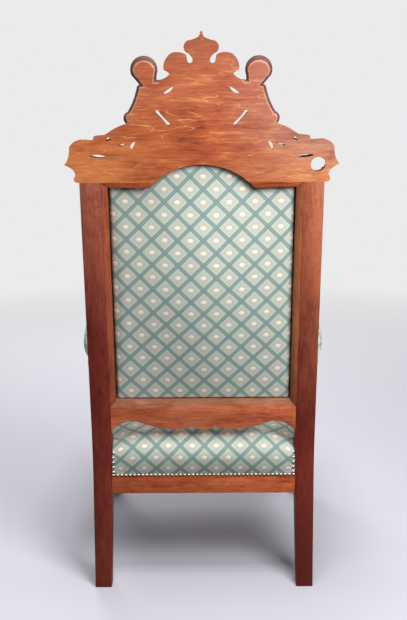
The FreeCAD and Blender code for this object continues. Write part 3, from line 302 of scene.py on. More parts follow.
# each wood: name, grain axis, colours from pores to pale fibre, strength and colour of its rays
WOODS = {
    "crest": ("oak_crest_varnished", 0, "#6c2b18 #9e4a2b #ac5734 #cc7d46", 0.6, "#dd9a62"),
    "post": ("oak_post_varnished", 2, "#743020 #92462f #a05138 #b8684a", 0.25, "#c07a54"),
    "back_rail": ("oak_back_rail_varnished", 0, "#a44b2d #d06a44 #de794e #f09664", 0.25, "#d89a70"),
    "rail": ("oak_rail_varnished", 0, "#984223 #c05d35 #ce6a3f #e28554", 0.25, "#d09566"),
    "arm": ("oak_arm_varnished", 1, "#571f14 #762e1e #853a26 #9c4c34", 0.25, "#a8603f"),
    "bead": ("oak_bead_varnished", 2, "#6b2e1b #894127 #964c2e #ad6240", 0.2, "#c98458"),
    # ledge: a darker, glossless copy of the oak for faces that look up, as painted shade
    "ledge": ("oak_ledge_painted_shade", 0, "#70402d #8b5742 #99644d #ad7a62", 0.2, "#b07c62"),
    # rim, shoulder and arris: the head chamfers' painted shade, painted light and painted highlight
    "rim": ("oak_chamfer_painted_shade", 0, "#3a211c #54342e #61403a #785248", 0.1, "#8a6050"),
    "shoulder": ("oak_chamfer_painted_light", 0, "#7d4a3c #9c6555 #ab7463 #bf8a78", 0.1, "#bf8a78"),
    "arris": ("oak_arris_painted_highlight", 0, "#a0664a #bb7e5d #c88b69 #d79f7f", 0.1, "#f0cbac"),
    "beech": ("beech_raw", 0, "#a87c54 #c39a6d #cfa97d #dcbb92", 0.25, "#b58a5e"),
}
ALL_ACROSS = (1.0, 0.9)
AGED_AND_PAINTED_LIGHT = {
    "crest": {
        "stops": (0.36, 0.45, 0.53, 0.62),
        # these two: more orange low on the +x side; painted sheen of the lamp low on the -x side
        "blended_in": [("#e08a50", (0.02, 0.24), (1.29, 1.18), 0.7),
                  ("#e6a06c", (-0.02, -0.25), (1.22, 1.14), 0.65),
                  # a faint painted highlight over the heads; painted sheen greying the -x head and ear
                  ("#b97f64", ALL_ACROSS, (1.24, 1.33), 0.2), ("#9c8078", (-0.04, -0.28), (1.13, 1.24), 0.72),
                  # painted shade darkening the crown
                  ("#844632", ALL_ACROSS, (1.36, 1.45), 0.8)],
    },
    "post": {
        # darker and redder towards the foot
        "heights": [(0.0, "#bd9aa4"), (0.33, "#c09195"), (0.62, "#c69ba5"), (0.85, "#e8ccc6"),
                    (1.0, "#f4f4f4")],
        "blended_in": [("#be7450", (-0.2, -0.28), (0.45, 1.15), 0.8), ("#c07a62", (0.2, 0.28), (0.72, 1.1), 0.55),
                  ("#5d190f", (-0.2, -0.26), (0.32, 0.12), 0.8)],
        "ripple": 0.7,
    },
    # the -x bead lighter towards its top: painted light of the lamp on that side
    "bead": {"blended_in": [("#c97f50", (-0.2, -0.24), (0.4, 0.7), 0.6)]},
    "ledge": {"gloss": 0.0},
}
materials = {finish: oak(*row, **AGED_AND_PAINTED_LIGHT.get(finish, {})) for finish, row in WOODS.items()}
materials["cloth"] = trellis_cloth()
materials["webbing"] = jute("jute_webbing", "#c3a97c", "#7c6340", 5.92)
materials["hessian"] = jute("jute_hessian", "#b79a6b", "#6e5636", 4.34)
materials["nail"] = nail_brass()


def grid(*axes):
    """Values of the axes at each point of a grid, counted row by row."""
    return np.meshgrid(*axes, indexing="ij")


def grid_faces(rows, cols, wrap_cols=False):
    """Quads of a grid of points counted row by row."""
    row, col = grid(np.arange(rows - 1), np.arange(cols - (not wrap_cols)))
    low, high = row * cols, (row + 1) * cols
    after = (col + 1) % cols
    return np.stack([low + col, low + after, high + after, high + col], -1).reshape(-1, 4)


def repeated(faces, count, points):
    """The faces of one shape of that many points, once for each of its copies."""
    return (faces[None] + np.arange(count)[:, None, None] * points).reshape(-1, 4)


def placed(name, mesh, finishes):
    """Smooth object of a mesh in those finishes, riding on the chair's one body."""
    for finish in finishes:
        mesh.materials.append(materials[finish])
    mesh.polygons.foreach_set("use_smooth", np.ones(len(mesh.polygons), bool))
    made = stand(name, mesh)
    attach(made, "root")
    return made


def piece(name, points, faces, finish, uv=None):
    """Object from arrays of points in metres and of faces."""
    mesh = bpy.data.meshes.new(name)
    mesh.from_pydata(points.reshape(-1, 3).tolist(), [], faces.tolist())
    if uv is not None:
        corner = np.empty(len(mesh.loops), int)
        mesh.loops.foreach_get("vertex_index", corner)
        mesh.uv_layers.new(name="surface").data.foreach_set("uv", uv.reshape(-1, 2)[corner].ravel())
    return placed(name, mesh, [finish])


def modify(made, kind, **settings):
    """Add a modifier with its settings."""
    assign(made.modifiers.new(kind.lower(), kind), **settings)


def eased(cad_node, ease, finishes, shape=None):
    """The CAD node's own shape, its triangles merged into flats, with its arrises eased by a small bevel."""
    work = bmesh.new()
    work.from_mesh(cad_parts[cad_node].data)
    bmesh.ops.remove_doubles(work, verts=work.verts, dist=2e-6)
    bmesh.ops.dissolve_limit(work, angle_limit=math.radians(0.4), verts=work.verts, edges=work.edges)
    if shape:
        shape(work)
    mesh = bpy.data.meshes.new(cad_node + "_wood")
    work.to_mesh(mesh)
    work.free()
    made = placed(cad_node + "_wood", mesh, finishes)
    modify(made, "BEVEL", width=ease * MM, segments=2, limit_method="ANGLE", angle_limit=math.radians(28),
           harden_normals=True)
    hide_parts(cad_node)


def crest_place(point):
    """(x, n, v) in millimetres of a point in metres."""
    y, z = point.y / MM - BEND_DEPTH, point.z / MM - BEND_HEIGHT
    n = y * math.cos(RAKE) - z * math.sin(RAKE)
    return point.x / MM, n, y * math.sin(RAKE) + z * math.cos(RAKE) - CREST_FOOT


def thinned_front(work, flat=8.0):
    """Front of the crest drawn back from its outline and its piercings, so that an edge is flat for a few
    millimetres at the rear and slopes away from there, as a carver leaves it."""
    on_flat = Vector(back_frame(0, -flat, 0).tolist())
    whole = [*work.verts, *work.edges, *work.faces]
    bmesh.ops.bisect_plane(work, geom=whole, plane_co=on_flat, plane_no=REAR)
    work.normal_update()
    moves = {}
    for vert in work.verts:
        x, n, v = crest_place(vert.co)
        walls = [face.normal for face in vert.link_faces if abs(face.normal.dot(REAR)) < 0.05]
        on_foot = v < 3 or v < 46 and abs(x) < 122
        if abs(n - BACK_FRONT) < 0.05 and len(walls) > 1 and not on_foot:
            first, last = min(((a, b) for a in walls for b in walls), key=lambda pair: pair[0].dot(pair[1]))
            # least at the tip and beside the bored hole, less where an ear fret comes near the edge
            beside_bore = 19 < math.hypot(x + BORE_X, v - BORE_V) < 45 and v > 55
            near_ear_fret = abs(x) > 205 and 96 < v < 135
            reach = 1.8 if v > 325 or beside_bore else 3.6 if near_ear_fret else 4.6
            moves[vert] = -(first + last) * reach * MM / max(1 + first.dot(last), 0.7)
    for vert, move in moves.items():
        vert.co += move


def chamfered_heads(work):
    """Rear edges of the crest's two round heads and of the bodies under them cut back in a chamfer, wider
    over
    the top of each head: its outer part coloured dark as painted shade, a shoulder inside it in a lighter
    colour as painted light, and a pale painted highlight along its inner edge."""
    neck, head_foot, head_side, body_side = 141.5, 236, 98, 138
    head_radius, wider = 34, 5

    def outline(reach):
        chosen = []
        for edge in work.edges:
            x, n, v = crest_place((edge.verts[0].co + edge.verts[1].co) / 2)
            in_run = v > neck and abs(x) > (head_side if v > head_foot else body_side - reach)
            if abs(n) < 0.05 and in_run and len(edge.link_faces) == 2 and edge.calc_face_angle() > 0.3:
                chosen.append(edge)
        return chosen

    def cut(reach, width, kind, material):
        made = bmesh.ops.bevel(work, geom=outline(reach), offset=width * MM, offset_type=kind, segments=1,
                               affect="EDGES")
        for face in made["faces"]:
            face.material_index = material
        return {vert for face in made["faces"] for vert in face.verts}

    # outer part of the chamfer in the rim finish: painted shade
    for vert in cut(0, 6.5, "OFFSET", 1):
        x, n, v = crest_place(vert.co)
        inward = Vector(back_frame(math.copysign(HEAD_X, x), 0, CREST_FOOT + HEAD_V).tolist()) - vert.co
        rise = (v - HEAD_V) / (inward.length / MM + 1e-6)
        if abs(n) < 0.05 and rise > 0 and inward.length < head_radius * MM:
            vert.co += inward.normalized() * wider * rise * MM
    # shoulder in a lighter pinkish finish: painted light on the chamfer's inner slope
    cut(14, 3.2, "WIDTH", 2)
    # a thin pale line along the inner edge: painted highlight
    cut(18, 1.2, "WIDTH", 3)


def shaped_crest(work):
    """Crest board with its carved front edges and chamfered rear heads, and its upward faces in the darker
    ledge finish as painted shade; its flat rear keeps sharp edges."""
    thinned_front(work)
    chamfered_heads(work)
    work.normal_update()
    # upward faces take the darker ledge finish: painted shade
    for face in work.faces:
        if face.material_index == 0 and face.normal.z > 0.35:
            face.material_index = 4
    for edge in work.edges:
        facing = [face.normal.dot(REAR) > 0.999 for face in edge.link_faces]
        edge.smooth = len(facing) != 2 or facing[0] == facing[1]


def twisted_bead(work):
    """Top bead with its bevel worked away from the mitre to nearly flat at the arch."""
    bevel_foot, mitre, lift = -12, 200, 10
    for vert in work.verts:
        x, n, v = crest_place(vert.co)
        if abs(n - bevel_foot) < 0.1 and abs(x) < mitre:
            vert.co += REAR * lift * MM


def painted_shade_on_ledges(work):
    """Upward faces of a rail in the ledge finish, a darker, glossless copy of its oak: painted shade."""
    for face in work.faces:
        face.material_index = int(face.normal.z > 0.3)


def swell(pad, held, pressure, cap):
    """Stuffing pushes the cloth out: pressure with the nailed points held, each point's travel capped."""
    points = np.empty(len(pad.data.vertices) * 3)
    pad.data.vertices.foreach_get("co", points)
    nailed = pad.vertex_groups.new(name="nailed")
    nailed.add(np.flatnonzero(held.ravel()).tolist(), 1.0, "REPLACE")
    cloth = pad.modifiers.new("stuffing", "CLOTH")
    assign(cloth.settings, quality=6, mass=0.4, tension_stiffness=30.0, compression_stiffness=30.0,
           bending_stiffness=2.0, vertex_group_mass="nailed", use_pressure=True,
           uniform_pressure_force=pressure)
    cloth.settings.effector_weights.gravity = 0.0
    cloth.collision_settings.use_collision = False
    for step in range(1, 21):
        scene.frame_set(step)
    stuffed = pad.evaluated_get(bpy.context.evaluated_depsgraph_get())
    moved = np.empty_like(points)
    stuffed.data.vertices.foreach_get("co", moved)
    pad.modifiers.remove(cloth)
    travel = (moved - points).reshape(-1, 3)
    length = np.maximum(np.linalg.norm(travel, axis=1, keepdims=True), 1e-9)
    # the cap bites softly, so that capped and free points run into one another
    travel *= cap * MM * np.tanh(length / (cap * MM)) / length
    pad.data.vertices.foreach_set("co", points + travel.ravel())
    scene.frame_set(1)


def cover(name, points, faces, uv, held, pressure, cap, cad_node):
    """Stuffed and covered pad: swollen, smoothed once, given the thickness of its cloth."""
    made = piece(name, points, faces, "cloth", uv)
    swell(made, held, pressure, cap)
    modify(made, "SUBSURF", levels=1, render_levels=1)
    modify(made, "SOLIDIFY", thickness=1.5 * MM, offset=-1.0)
    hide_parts(cad_node)


def border(rows, cols):
    """True on the edge of a grid."""
    held = np.zeros((rows, cols), bool)
    held[[0, -1], :] = True
    held[:, [0, -1]] = True
    return held


def rear_back_pad():
    """Rear cloth of the back: across x = s half, up from the rail to the arch. It rises from its rim by a
    tuck 8 (1 - e^(-d / 2.5)) at d from its sides, and by crown (1 + cos pi s) / 2 (1 - f), where f is t^2
    below and flattens to tanh(1.8 t^2) / 1.8 above. Columns lie closer towards the sides."""
    half, low, shoulder, rim, tuck, crown = BEAD_IN - 2, 158.0, CREST_FOOT - BEAD_WIDTH - 1, -34.0, 8.0, 28.0
    rows, cols = 97, 73
    even = np.linspace(-1, 1, cols)
    t, s = grid(np.linspace(-1, 1, rows), 0.6 * even + 0.4 * np.sin(even * pi / 2))
    x = s * half
    u = low + (t + 1) / 2 * (arch_top(x, ARCH_RADIUS - 2, shoulder) - low)
    fall = np.where(t < 0, t ** 2, np.tanh(1.8 * t ** 2) / 1.8)
    tucked = tuck * (1 - np.exp(-(half - np.abs(x)) / 2.5))
    n = rim + tucked + crown * (1 + np.cos(pi * s)) / 2 * (1 - fall)
    # a row of dots lies at u = 439, and one dot 2.9 mm to the right of the middle
    uv = np.stack([x + 2.9, u - 439.0 + TRELLIS_PITCH / 2], -1) * MM
    cover("rear_back_cloth", back_frame(x, n, u), grid_faces(rows, cols)[:, ::-1], uv, border(rows, cols),
          1.0, 6, "back_pad_rear")


def front_back_pad():
    """Front cloth of the back: a slab with quarter-round edges, x = half - r + r sin a, which stand
    r (1 - cos a cos b) below its face, and a crown of (1 - s^2)(1 - t^2) over that."""
    half, low, shoulder, rim, edge, crown = POST_IN + 11, 145.0, 761.0, -40.6, 14.0, 26.0
    rows, cols, turn = 97, 73, 0.9
    t, s = grid(np.linspace(-1, 1, rows), np.linspace(-1, 1, cols))
    flat_s, flat_t = (np.clip(a, -turn, turn) / turn for a in (s, t))
    round_s, round_t = (np.clip(np.abs(a) - turn, 0, None) / (1 - turn) * pi / 2 for a in (s, t))
    x = flat_s * (half - edge) + np.sign(s) * edge * np.sin(round_s)
    top = arch_top(x, ARCH_RADIUS + 11, shoulder)
    u = low + edge + (flat_t + 1) / 2 * (top - low - 2 * edge) + np.sign(t) * edge * np.sin(round_t)
    swelling = crown * (1 - flat_s ** 2) * (1 - flat_t ** 2)
    n = rim - edge * np.cos(round_s) * np.cos(round_t) - swelling
    wrap_x = x + np.sign(s) * edge * (round_s - np.sin(round_s))
    uv = np.stack([wrap_x, u - 441.1 + TRELLIS_PITCH / 2], -1) * MM
    cover("front_back_cloth", back_frame(x, n, u), grid_faces(rows, cols), uv, border(rows, cols),
          1.0, 6, "back_pad_front")


def post_inner(z):
    """Inner face of a back post at height z, which tapers away below the seat's top."""
    return POST_IN + POST_TAPER * np.clip(POST_TAPER_TOP - z, 0, None) / POST_TAPER_TOP


def seat_side(y):
    """Outer face of the cloth along the side rail at depth y; the seat widens towards the front."""
    rear, front = 293.0, 319.0
    return rear + (front - rear) * (POST_FRONT - y) / (POST_FRONT - LEG_REAR)


def seat_roll(part, run, bulge):
    """Fall of the seat's edge at part 0..1: a quarter superellipse out over the bulge, then down and back in
    to the nails by bulge q^2. Gives (outward, down, length along the cloth)."""
    def fall_line(share, run, bulge):
        turn = np.clip(share / 0.5, 0, 1) * pi / 2
        fall = np.clip((share - 0.5) / 0.5, 0, 1)
        outward = (run + bulge) * np.sin(turn) ** (2 / SEAT_POWER) - bulge * fall ** 2
        return outward, SEAT_ROLL * (1 - np.cos(turn) ** (2 / SEAT_POWER)) + fall * SEAT_DROP

    even = np.linspace(0, 1, 201)
    steps = np.hypot(*np.diff(fall_line(even, SEAT_REAR - POST_FRONT, 0)))
    length = np.interp(part, even, np.append(0, np.cumsum(steps)))
    return *fall_line(part, run, bulge), length


def seat_pad():
    """Stuffed seat as a cross-shaped cloth: a crowned middle between the posts and legs, dropped at the rear
    corners, and four flaps that roll over the rails. Rows run from the rear nails to the front ones, columns
    from the right rail to the left. Behind each front leg the two flaps' ends are folded in to the corner
    between them."""
    flap, mid_rows, mid_cols = 22, 65, 61
    crown, bulge, side_bulge, gap = 9, 11, 7, 0.8
    part = np.linspace(0, 1, flap + 1)[1:]
    row, col = (np.concatenate([-part[::-1] - 1, np.linspace(-1, 1, count), part + 1])
                for count in (mid_rows, mid_cols))
    t, s = grid(row, col)
    flat_t, flat_s = np.clip(t, -1, 1), np.clip(s, -1, 1)
    over_t, over_s = np.abs(t - flat_t), np.abs(s - flat_s)
    forward = (flat_t + 1) / 2
    leg_rear = LEG_REAR + 1.2
    y = POST_FRONT - gap + forward * (leg_rear - POST_FRONT + gap)
    rear_half = post_inner(SEAT_EDGE)
    wide = rear_half + forward * (LEG_X - LEG_BLOCK / 2 - rear_half) - gap
    run = np.where(t < 0, SEAT_REAR - POST_FRONT, leg_rear - SEAT_FRONT)
    out_t, down_t, run_t = seat_roll(over_t, run, bulge * (1 - flat_s ** 6))
    out_s, down_s, run_s = seat_roll(over_s, seat_side(y) - wide, side_bulge * (1 - flat_t ** 6))
    drop = SEAT_CORNER * np.abs(flat_s) ** 5 * np.clip(-2 * flat_t - 1, 0, 1) ** 2
    kept = 1 - drop / (SEAT_ROLL + SEAT_DROP)
    dome = crown * ((1 - flat_s ** 2) * (1 - flat_t ** 2)) ** 1.2
    z = SEAT_EDGE + dome - drop - (down_t + down_s) * kept
    spread = np.where(t < -1, (post_inner(z) - gap) / wide, 1.0)
    x = flat_s * wide * spread + np.sign(s) * out_s
    y = y - np.sign(t) * out_t
    across = flat_s * wide + np.sign(s) * run_s
    along = POST_FRONT - y + np.where(t < -1, out_t - run_t, 0) + np.where(t > 1, run_t - out_t, 0)
    foot = seat_roll(1.0, SEAT_REAR - POST_FRONT, 0)[2]
    # a row of dots lies 57.9 mm up the cloth from the rear nails, one dot 2.6 mm to the right of the middle
    uv = np.stack([across + 2.6, along + foot - 57.9 + TRELLIS_PITCH / 2], -1) * MM
    used = ~((over_t > 0) & (over_s > 0))
    faces = grid_faces(*t.shape)
    faces = faces[used.ravel()[faces].all(1)]
    index = np.cumsum(used.ravel()) - 1
    free = np.zeros_like(used)
    free[1:-1, 1:-1] = used[2:, 1:-1] & used[:-2, 1:-1] & used[1:-1, 2:] & used[1:-1, :-2]
    free &= ~((over_t > 0) & (np.abs(s) >= 1)) & ~((over_s > 0) & (np.abs(t) >= 1))
    points, faces, uv, held = seat_frame(x, y, z)[used], index[faces][:, ::-1], uv[used], ~free[used]
    index = index.reshape(t.shape)
    last = flap + mid_rows - 1
    for edge in (flap, flap + mid_cols - 1):
        front = index[last:, edge]
        side = index[last, edge::-1] if edge == flap else index[last, edge:]
        inner = len(points) + np.arange(flap)
        fold = points[front[1:]]
        fold[:, :2] = points[side[0], :2]
        top = [[side[0], side[1], inner[0], front[1]]]
        front_wall = np.stack([front[1:-1], inner[:-1], inner[1:], front[2:]], -1)
        side_wall = np.stack([inner[:-1], side[1:-1], side[2:], inner[1:]], -1)
        folded = np.concatenate([top, front_wall, side_wall])
        faces = np.concatenate([faces, folded if edge == flap else folded[:, ::-1]])
        points = np.concatenate([points, fold])
        uv = np.concatenate([uv, (uv[front[1:]] + uv[side[1:]]) / 2])
        held = np.concatenate([held, np.ones(flap, bool)])
    cover("seat_cloth", points, faces, uv, held, 0.8, 5, "seat_pad")


def arm_middle(y):
    """Middle line of the left arm at depth y: straight from post to leg with a shallow outward bow."""
    part = (ARM_REAR - y) / (ARM_REAR - LEG_Y)
    return ARM_MIDDLE_REAR + (LEG_X - ARM_MIDDLE_REAR) * part + ARM_BOW * (1 - (2 * part - 1) ** 2)


def arm_pad(side, sign):
    """Pad over an arm: a superellipse over the top, a quarter ellipse back in under it and cloth drawn tight
    down the arm's sides to the nails, closing on the wood at both ends by (1 - |t|^5)^0.5. Rows lie closer
    towards the ends."""
    rows, cols = 61, 45
    tight, bulge, rise, girth = 26.2, 13.2, 49.0, 118.0
    over_share, under_share = 0.6, 0.18
    ends = np.sin(np.linspace(-pi / 2, pi / 2, rows))
    t, a = grid(ends, np.linspace(-1, 1, cols))
    y = ARM_PAD_REAR - (t + 1) / 2 * ARM_PAD_LENGTH
    full = np.sqrt(np.clip(1 - np.abs(t) ** 5, 0, None))
    top = 1.2 + rise * full
    widest, low = 0.4 * top, 0.1 * top
    turn = np.clip(np.abs(a) / over_share, 0, 1) * pi / 2
    under = np.clip((np.abs(a) - over_share) / under_share, 0, 1) * pi / 2
    skirt = np.clip((np.abs(a) - over_share - under_share) / (1 - over_share - under_share), 0, 1)
    x = np.sign(a) * np.sin(turn) ** 0.72 * (tight + bulge * full * np.cos(under))
    z = widest + (top - widest) * np.cos(turn) ** 0.8 - (widest - low) * np.sin(under)
    z = ARM_TOP + z - skirt * (low + ARM_TOP - ARM_BOTTOM - 0.6)
    uv = np.stack([y + 273.0, a * girth + TRELLIS_PITCH / 2], -1) * MM
    points = seat_frame(sign * (arm_middle(y) + x), y, z)
    held = border(rows, cols) | (skirt > 0)
    cover("arm_cloth_" + side, points, grid_faces(rows, cols)[:, ::sign], uv, held, 0.8, 4,
          "arm_pad_" + side)


def nails(name, places, faces_to, pitch=11.3, radius=4.6, height=3.0):
    """Row of domed nail heads, one every pitch along a line of places in metres, each facing the line's
    direction there: rings of radius cos and height sin on eight sides, closed by a flat top."""
    run = np.append(0, np.cumsum(np.linalg.norm(np.diff(places, axis=0), axis=1)))
    count = max(int(run[-1] / (pitch * MM)), 1) + 1
    at = np.linspace(0, run[-1], count)
    spots, facing = (np.stack([np.interp(at, run, line[:, k]) for k in range(3)], -1)
                     for line in (places, np.broadcast_to(faces_to, places.shape)))
    facing /= np.linalg.norm(facing, axis=1, keepdims=True)
    # any direction that no row faces
    side = np.cross(facing, (0.31, 0.52, 0.79))
    side /= np.linalg.norm(side, axis=1, keepdims=True)
    basis = np.stack([side, np.cross(facing, side), facing], 1)
    lift, turn = grid(np.array([-0.12, 0.3, 0.75, 1.3]), np.arange(8) * pi / 4)
    dome = np.stack([radius * np.cos(lift) * np.cos(turn), radius * np.cos(lift) * np.sin(turn),
                     height * np.sin(lift)], -1).reshape(-1, 3) * MM
    top = np.array([[0, 1, 2, 3], [0, 3, 4, 7], [4, 5, 6, 7]]) + 24
    faces = np.concatenate([grid_faces(4, 8, wrap_cols=True), top])
    points = spots[:, None] + np.einsum("pk,nkj->npj", dome, basis)
    # height on the nail, which the brass's painted highlight and shade follow
    up = (points - spots[:, None])[..., 2] / (radius * MM)
    piece(name, points, repeated(faces, count, len(dome)), "nail", uv=np.stack([up, up], -1) / 2 + 0.5)


def all_nails():
    """Nails along the seat's four edges, up the posts, round the back's front and along the arm pads."""
    foot = SEAT_FOOT + 1.2
    across = np.linspace(-1, 1, 40)
    edge = post_inner(foot) - 5
    nails("nails_seat_rear", seat_frame(across * edge, REAR_RAIL_STEP + 0.2, foot), (0, 1, 0))
    nails("nails_seat_front", seat_frame(across * 268, SEAT_FRONT - 2.2, foot), (0, -1, 0))
    y = np.linspace(POST_FRONT - 5, LEG_REAR + 3, 40)
    # up the roll of the seat beside the posts, with its dropped corner
    z = np.linspace(foot + 11.3, SEAT_EDGE - 30, 60)
    rise = np.clip((z - SEAT_EDGE + SEAT_ROLL) / SEAT_ROLL, 0, 1)
    reach = (1 - rise ** SEAT_POWER) ** (1 / SEAT_POWER)
    roll_y = POST_FRONT + (SEAT_REAR - POST_FRONT) * reach
    slope = np.stack([np.zeros_like(z), reach ** (SEAT_POWER - 1), rise ** (SEAT_POWER - 1)], -1)
    z = z - SEAT_CORNER * (z - SEAT_FOOT) / (SEAT_ROLL + SEAT_DROP)
    # round the front pad of the back
    low, high, rail_front = 141.0, 764.5, -38.0
    u = np.linspace(low, high - 0.5, 60)
    bow = ARCH_RADIUS + 14.5
    spread = math.acos((high - ARCH_CENTRE) / bow)
    arch = np.linspace(-spread, spread, 40)
    shoulder = np.linspace(bow * math.sin(spread) + 10.8, POST_IN + 5, 20)
    forward = tuple(-REAR)
    arch_x, arch_u = bow * np.sin(arch), ARCH_CENTRE + bow * np.cos(arch)
    nails("nails_back_arch", back_frame(arch_x, BACK_FRONT, arch_u), forward)
    nails("nails_back_foot", back_frame(across * (POST_IN + 7), rail_front, low), forward)
    arm_y = np.linspace(ARM_PAD_REAR - 14, ARM_PAD_REAR - ARM_PAD_LENGTH + 14, 40)
    for side, sign in SIDES.items():
        nails("nails_seat_" + side, seat_frame(sign * (seat_side(y) + 1.8), y, foot), (sign, 0, 0))
        nails("nails_post_" + side, seat_frame(sign * (post_inner(z) - 5), roll_y, z), slope)
        nails("nails_back_" + side, back_frame(sign * (POST_IN + 15), BACK_FRONT, u), forward)
        nails("nails_shoulder_" + side, back_frame(sign * shoulder, BACK_FRONT, high), forward)
        for face, out in (("outer", 1), ("inner", -1)):
            skirt = seat_frame(sign * (arm_middle(arm_y) + out * 26.4), arm_y, ARM_BOTTOM + 5)
            nails(f"nails_arm_{side}_{face}", skirt, (sign * out, 0, 0), 10.8, 3.6)


def straps(name, to_frame, along_x, places, half, middle, pitch, lift):
    """Webbing straps 50 mm wide, each woven over and under the ones across it by a cosine wave of 1 mm;
    to_frame takes (across, along, lift)."""
    rows, cols = 81, 7
    number, a, b = grid(np.arange(len(places)), np.linspace(-1, 1, rows), np.linspace(-25, 25, cols))
    run = a * np.asarray(half)[number]
    wave = lift + np.cos(pi * run / pitch + pi * number) * (1 if along_x else -1)
    beside = np.asarray(places)[number] + b
    points = to_frame(run, beside, wave) if along_x else to_frame(beside, middle + run, wave)
    faces = repeated(grid_faces(rows, cols), len(places), rows * cols)
    made = piece(name, points, faces, "webbing")
    modify(made, "SOLIDIFY", thickness=1.4 * MM, offset=0.0)
    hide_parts(name.replace("straps", "webbing"))


def all_webbing():
    """Straps both ways under the seat and in the back, and the hessian sheet over the seat's straps."""
    low, high = (corner[1] / MM - BEND_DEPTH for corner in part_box("seat_webbing_across"))
    middle = (low + high) / 2
    pitch, level = 96, 344
    steps = np.arange(-2, 3)
    seat_y = middle + pitch * steps
    straps("seat_straps_across", seat_frame, True, seat_y, seat_side(seat_y) - 9, 0, pitch, level)
    straps("seat_straps_long", seat_frame, False, pitch * steps, np.full(5, 292), middle, pitch, level)

    def flat_back(x, u, n):
        return back_frame(x, n, u)

    back_middle, up_pitch, side_pitch, back_level = 453, 112, 116, -42
    straps("back_straps_across", flat_back, True, back_middle + up_pitch * steps, np.full(5, POST_IN + 7), 0,
           side_pitch, back_level)
    straps("back_straps_upright", flat_back, False, side_pitch * steps[1:4], np.full(3, 304), back_middle,
           up_pitch, back_level)
    # the sheet is cut out round the posts and the legs
    leg_cut, step = LEG_REAR + 1, 0.1
    y = np.array([-2.5, POST_FRONT, POST_FRONT - step, *np.linspace(-60, -536, 40), leg_cut, leg_cut - step,
                  -586])
    half = seat_side(y) - 8
    half[:2] = POST_IN - 1
    half[-2:] = 273
    t, s = grid(y, np.linspace(-1, 1, 61))
    x = s * half[:, None]
    z = 346.6 + 0.35 * np.cos(2 * pi * x / pitch) * np.cos(2 * pi * (t - middle) / pitch)
    sheet = piece("hessian_sheet", seat_frame(x, t, z), grid_faces(*t.shape)[:, ::-1], "hessian")
    modify(sheet, "SOLIDIFY", thickness=0.8 * MM)
    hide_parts("seat_hessian")


def rosette(name, centre, ways, radius, height, petals, finish):
    """Carved rosette on a round grid about a centre in metres, in the ways right, up and out: petals as
    (1 - r^5)(0.45 + 0.4 p^0.6 sin pi r) of the height, where p is a raised cosine round the rosette, with
    veined middles, and a domed button in the middle."""
    core = 0.28
    around = np.linspace(0, 2 * pi, 12 * petals, endpoint=False)
    r, a = grid(np.linspace(0.02, 1, 22), around)
    petal = 0.5 + 0.5 * np.cos(petals * a)
    reach = radius * r * (1 - 0.16 * (1 - petal) * np.clip((r - 0.5) * 2, 0, 1))
    out = (1 - r ** 5) * (0.45 + 0.4 * petal ** 0.6 * np.sin(pi * r) - 0.1 * petal ** 12)
    button = np.sqrt(np.clip(1 - (r / core) ** 2, 0, None)) * 0.6 + 0.4
    out = height * np.where(r < core, np.maximum(button, 0.45), out) - 0.5
    points = centre + np.stack([reach * np.cos(a), reach * np.sin(a), out], -1) @ np.array(ways) * MM
    made = piece(name, points, grid_faces(*r.shape, wrap_cols=True)[:, ::-1], finish)
    work = bmesh.new()
    work.from_mesh(made.data)
    bmesh.ops.holes_fill(work, edges=[edge for edge in work.edges if edge.is_boundary], sides=0)
    bmesh.ops.recalc_face_normals(work, faces=work.faces)
    work.to_mesh(made.data)
    work.free()
    made.data.polygons.foreach_set("use_smooth", np.ones(len(made.data.polygons), bool))


def near_line(x, v, start, end):
    """Distance of places (x, v) from the line between two points, and how far along it they lie, 0..1."""
    run = np.subtract(end, start)
    part = np.clip(((x - start[0]) * run[0] + (v - start[1]) * run[1]) / (run @ run), 0, 1)
    return np.hypot(x - start[0] - part * run[0], v - start[1] - part * run[1]), part


def round_over(distance, half):
    """Half-round section: 1 in the middle, 0 at that half width and past it."""
    return np.sqrt(np.clip(1 - (distance / half) ** 2, 0, None))


def leaf(x, v, start, end, half, lobes):
    """Acanthus leaf between two points: lobed outline half sin(pi s)^0.6 (1 + 0.2 cos), hollowed each side
    of its rib, with fluting that fans out from it."""
    run = np.subtract(end, start)
    length = math.hypot(*run)
    part = ((x - start[0]) * run[0] + (v - start[1]) * run[1]) / length ** 2
    off = ((x - start[0]) * run[1] - (v - start[1]) * run[0]) / length
    inside = np.clip(part, 0, 1)
    lobed = np.cos(2 * pi * lobes * (inside - np.abs(off) / length * 0.7))
    width = half * np.sin(pi * inside) ** 0.6 * (1 + 0.2 * lobed) + 1e-6
    body = np.clip(1 - (np.abs(off) / width) ** 2.5, 0, None) ** 0.5
    rib = 0.5 * np.exp(-(off / 2.0) ** 2)
    within = (part > 0) & (part < 1) & (np.abs(off) < width)
    return np.where(within, body * (0.8 + 0.2 * lobed) * 0.75 + rib * body, 0.0)


def volute(x, v, centre, radius, turn, hand):
    """Spiral scroll: a half-round fillet on r = radius e^(-k a) winding inwards to a button."""
    dx, dv = (x - centre[0]) * hand, v - centre[1]
    r = np.hypot(dx, dv) / radius
    winding = (np.log(np.maximum(r, 1e-3)) / -0.125 - np.arctan2(dv, dx) - turn) / (2 * pi)
    off = np.abs(winding - np.round(winding)) * 2
    fillet = round_over(off, 0.8) * (r < 1) * (r > 0.2)
    return np.maximum(fillet * (0.55 + 0.45 * r), round_over(r, 0.24))


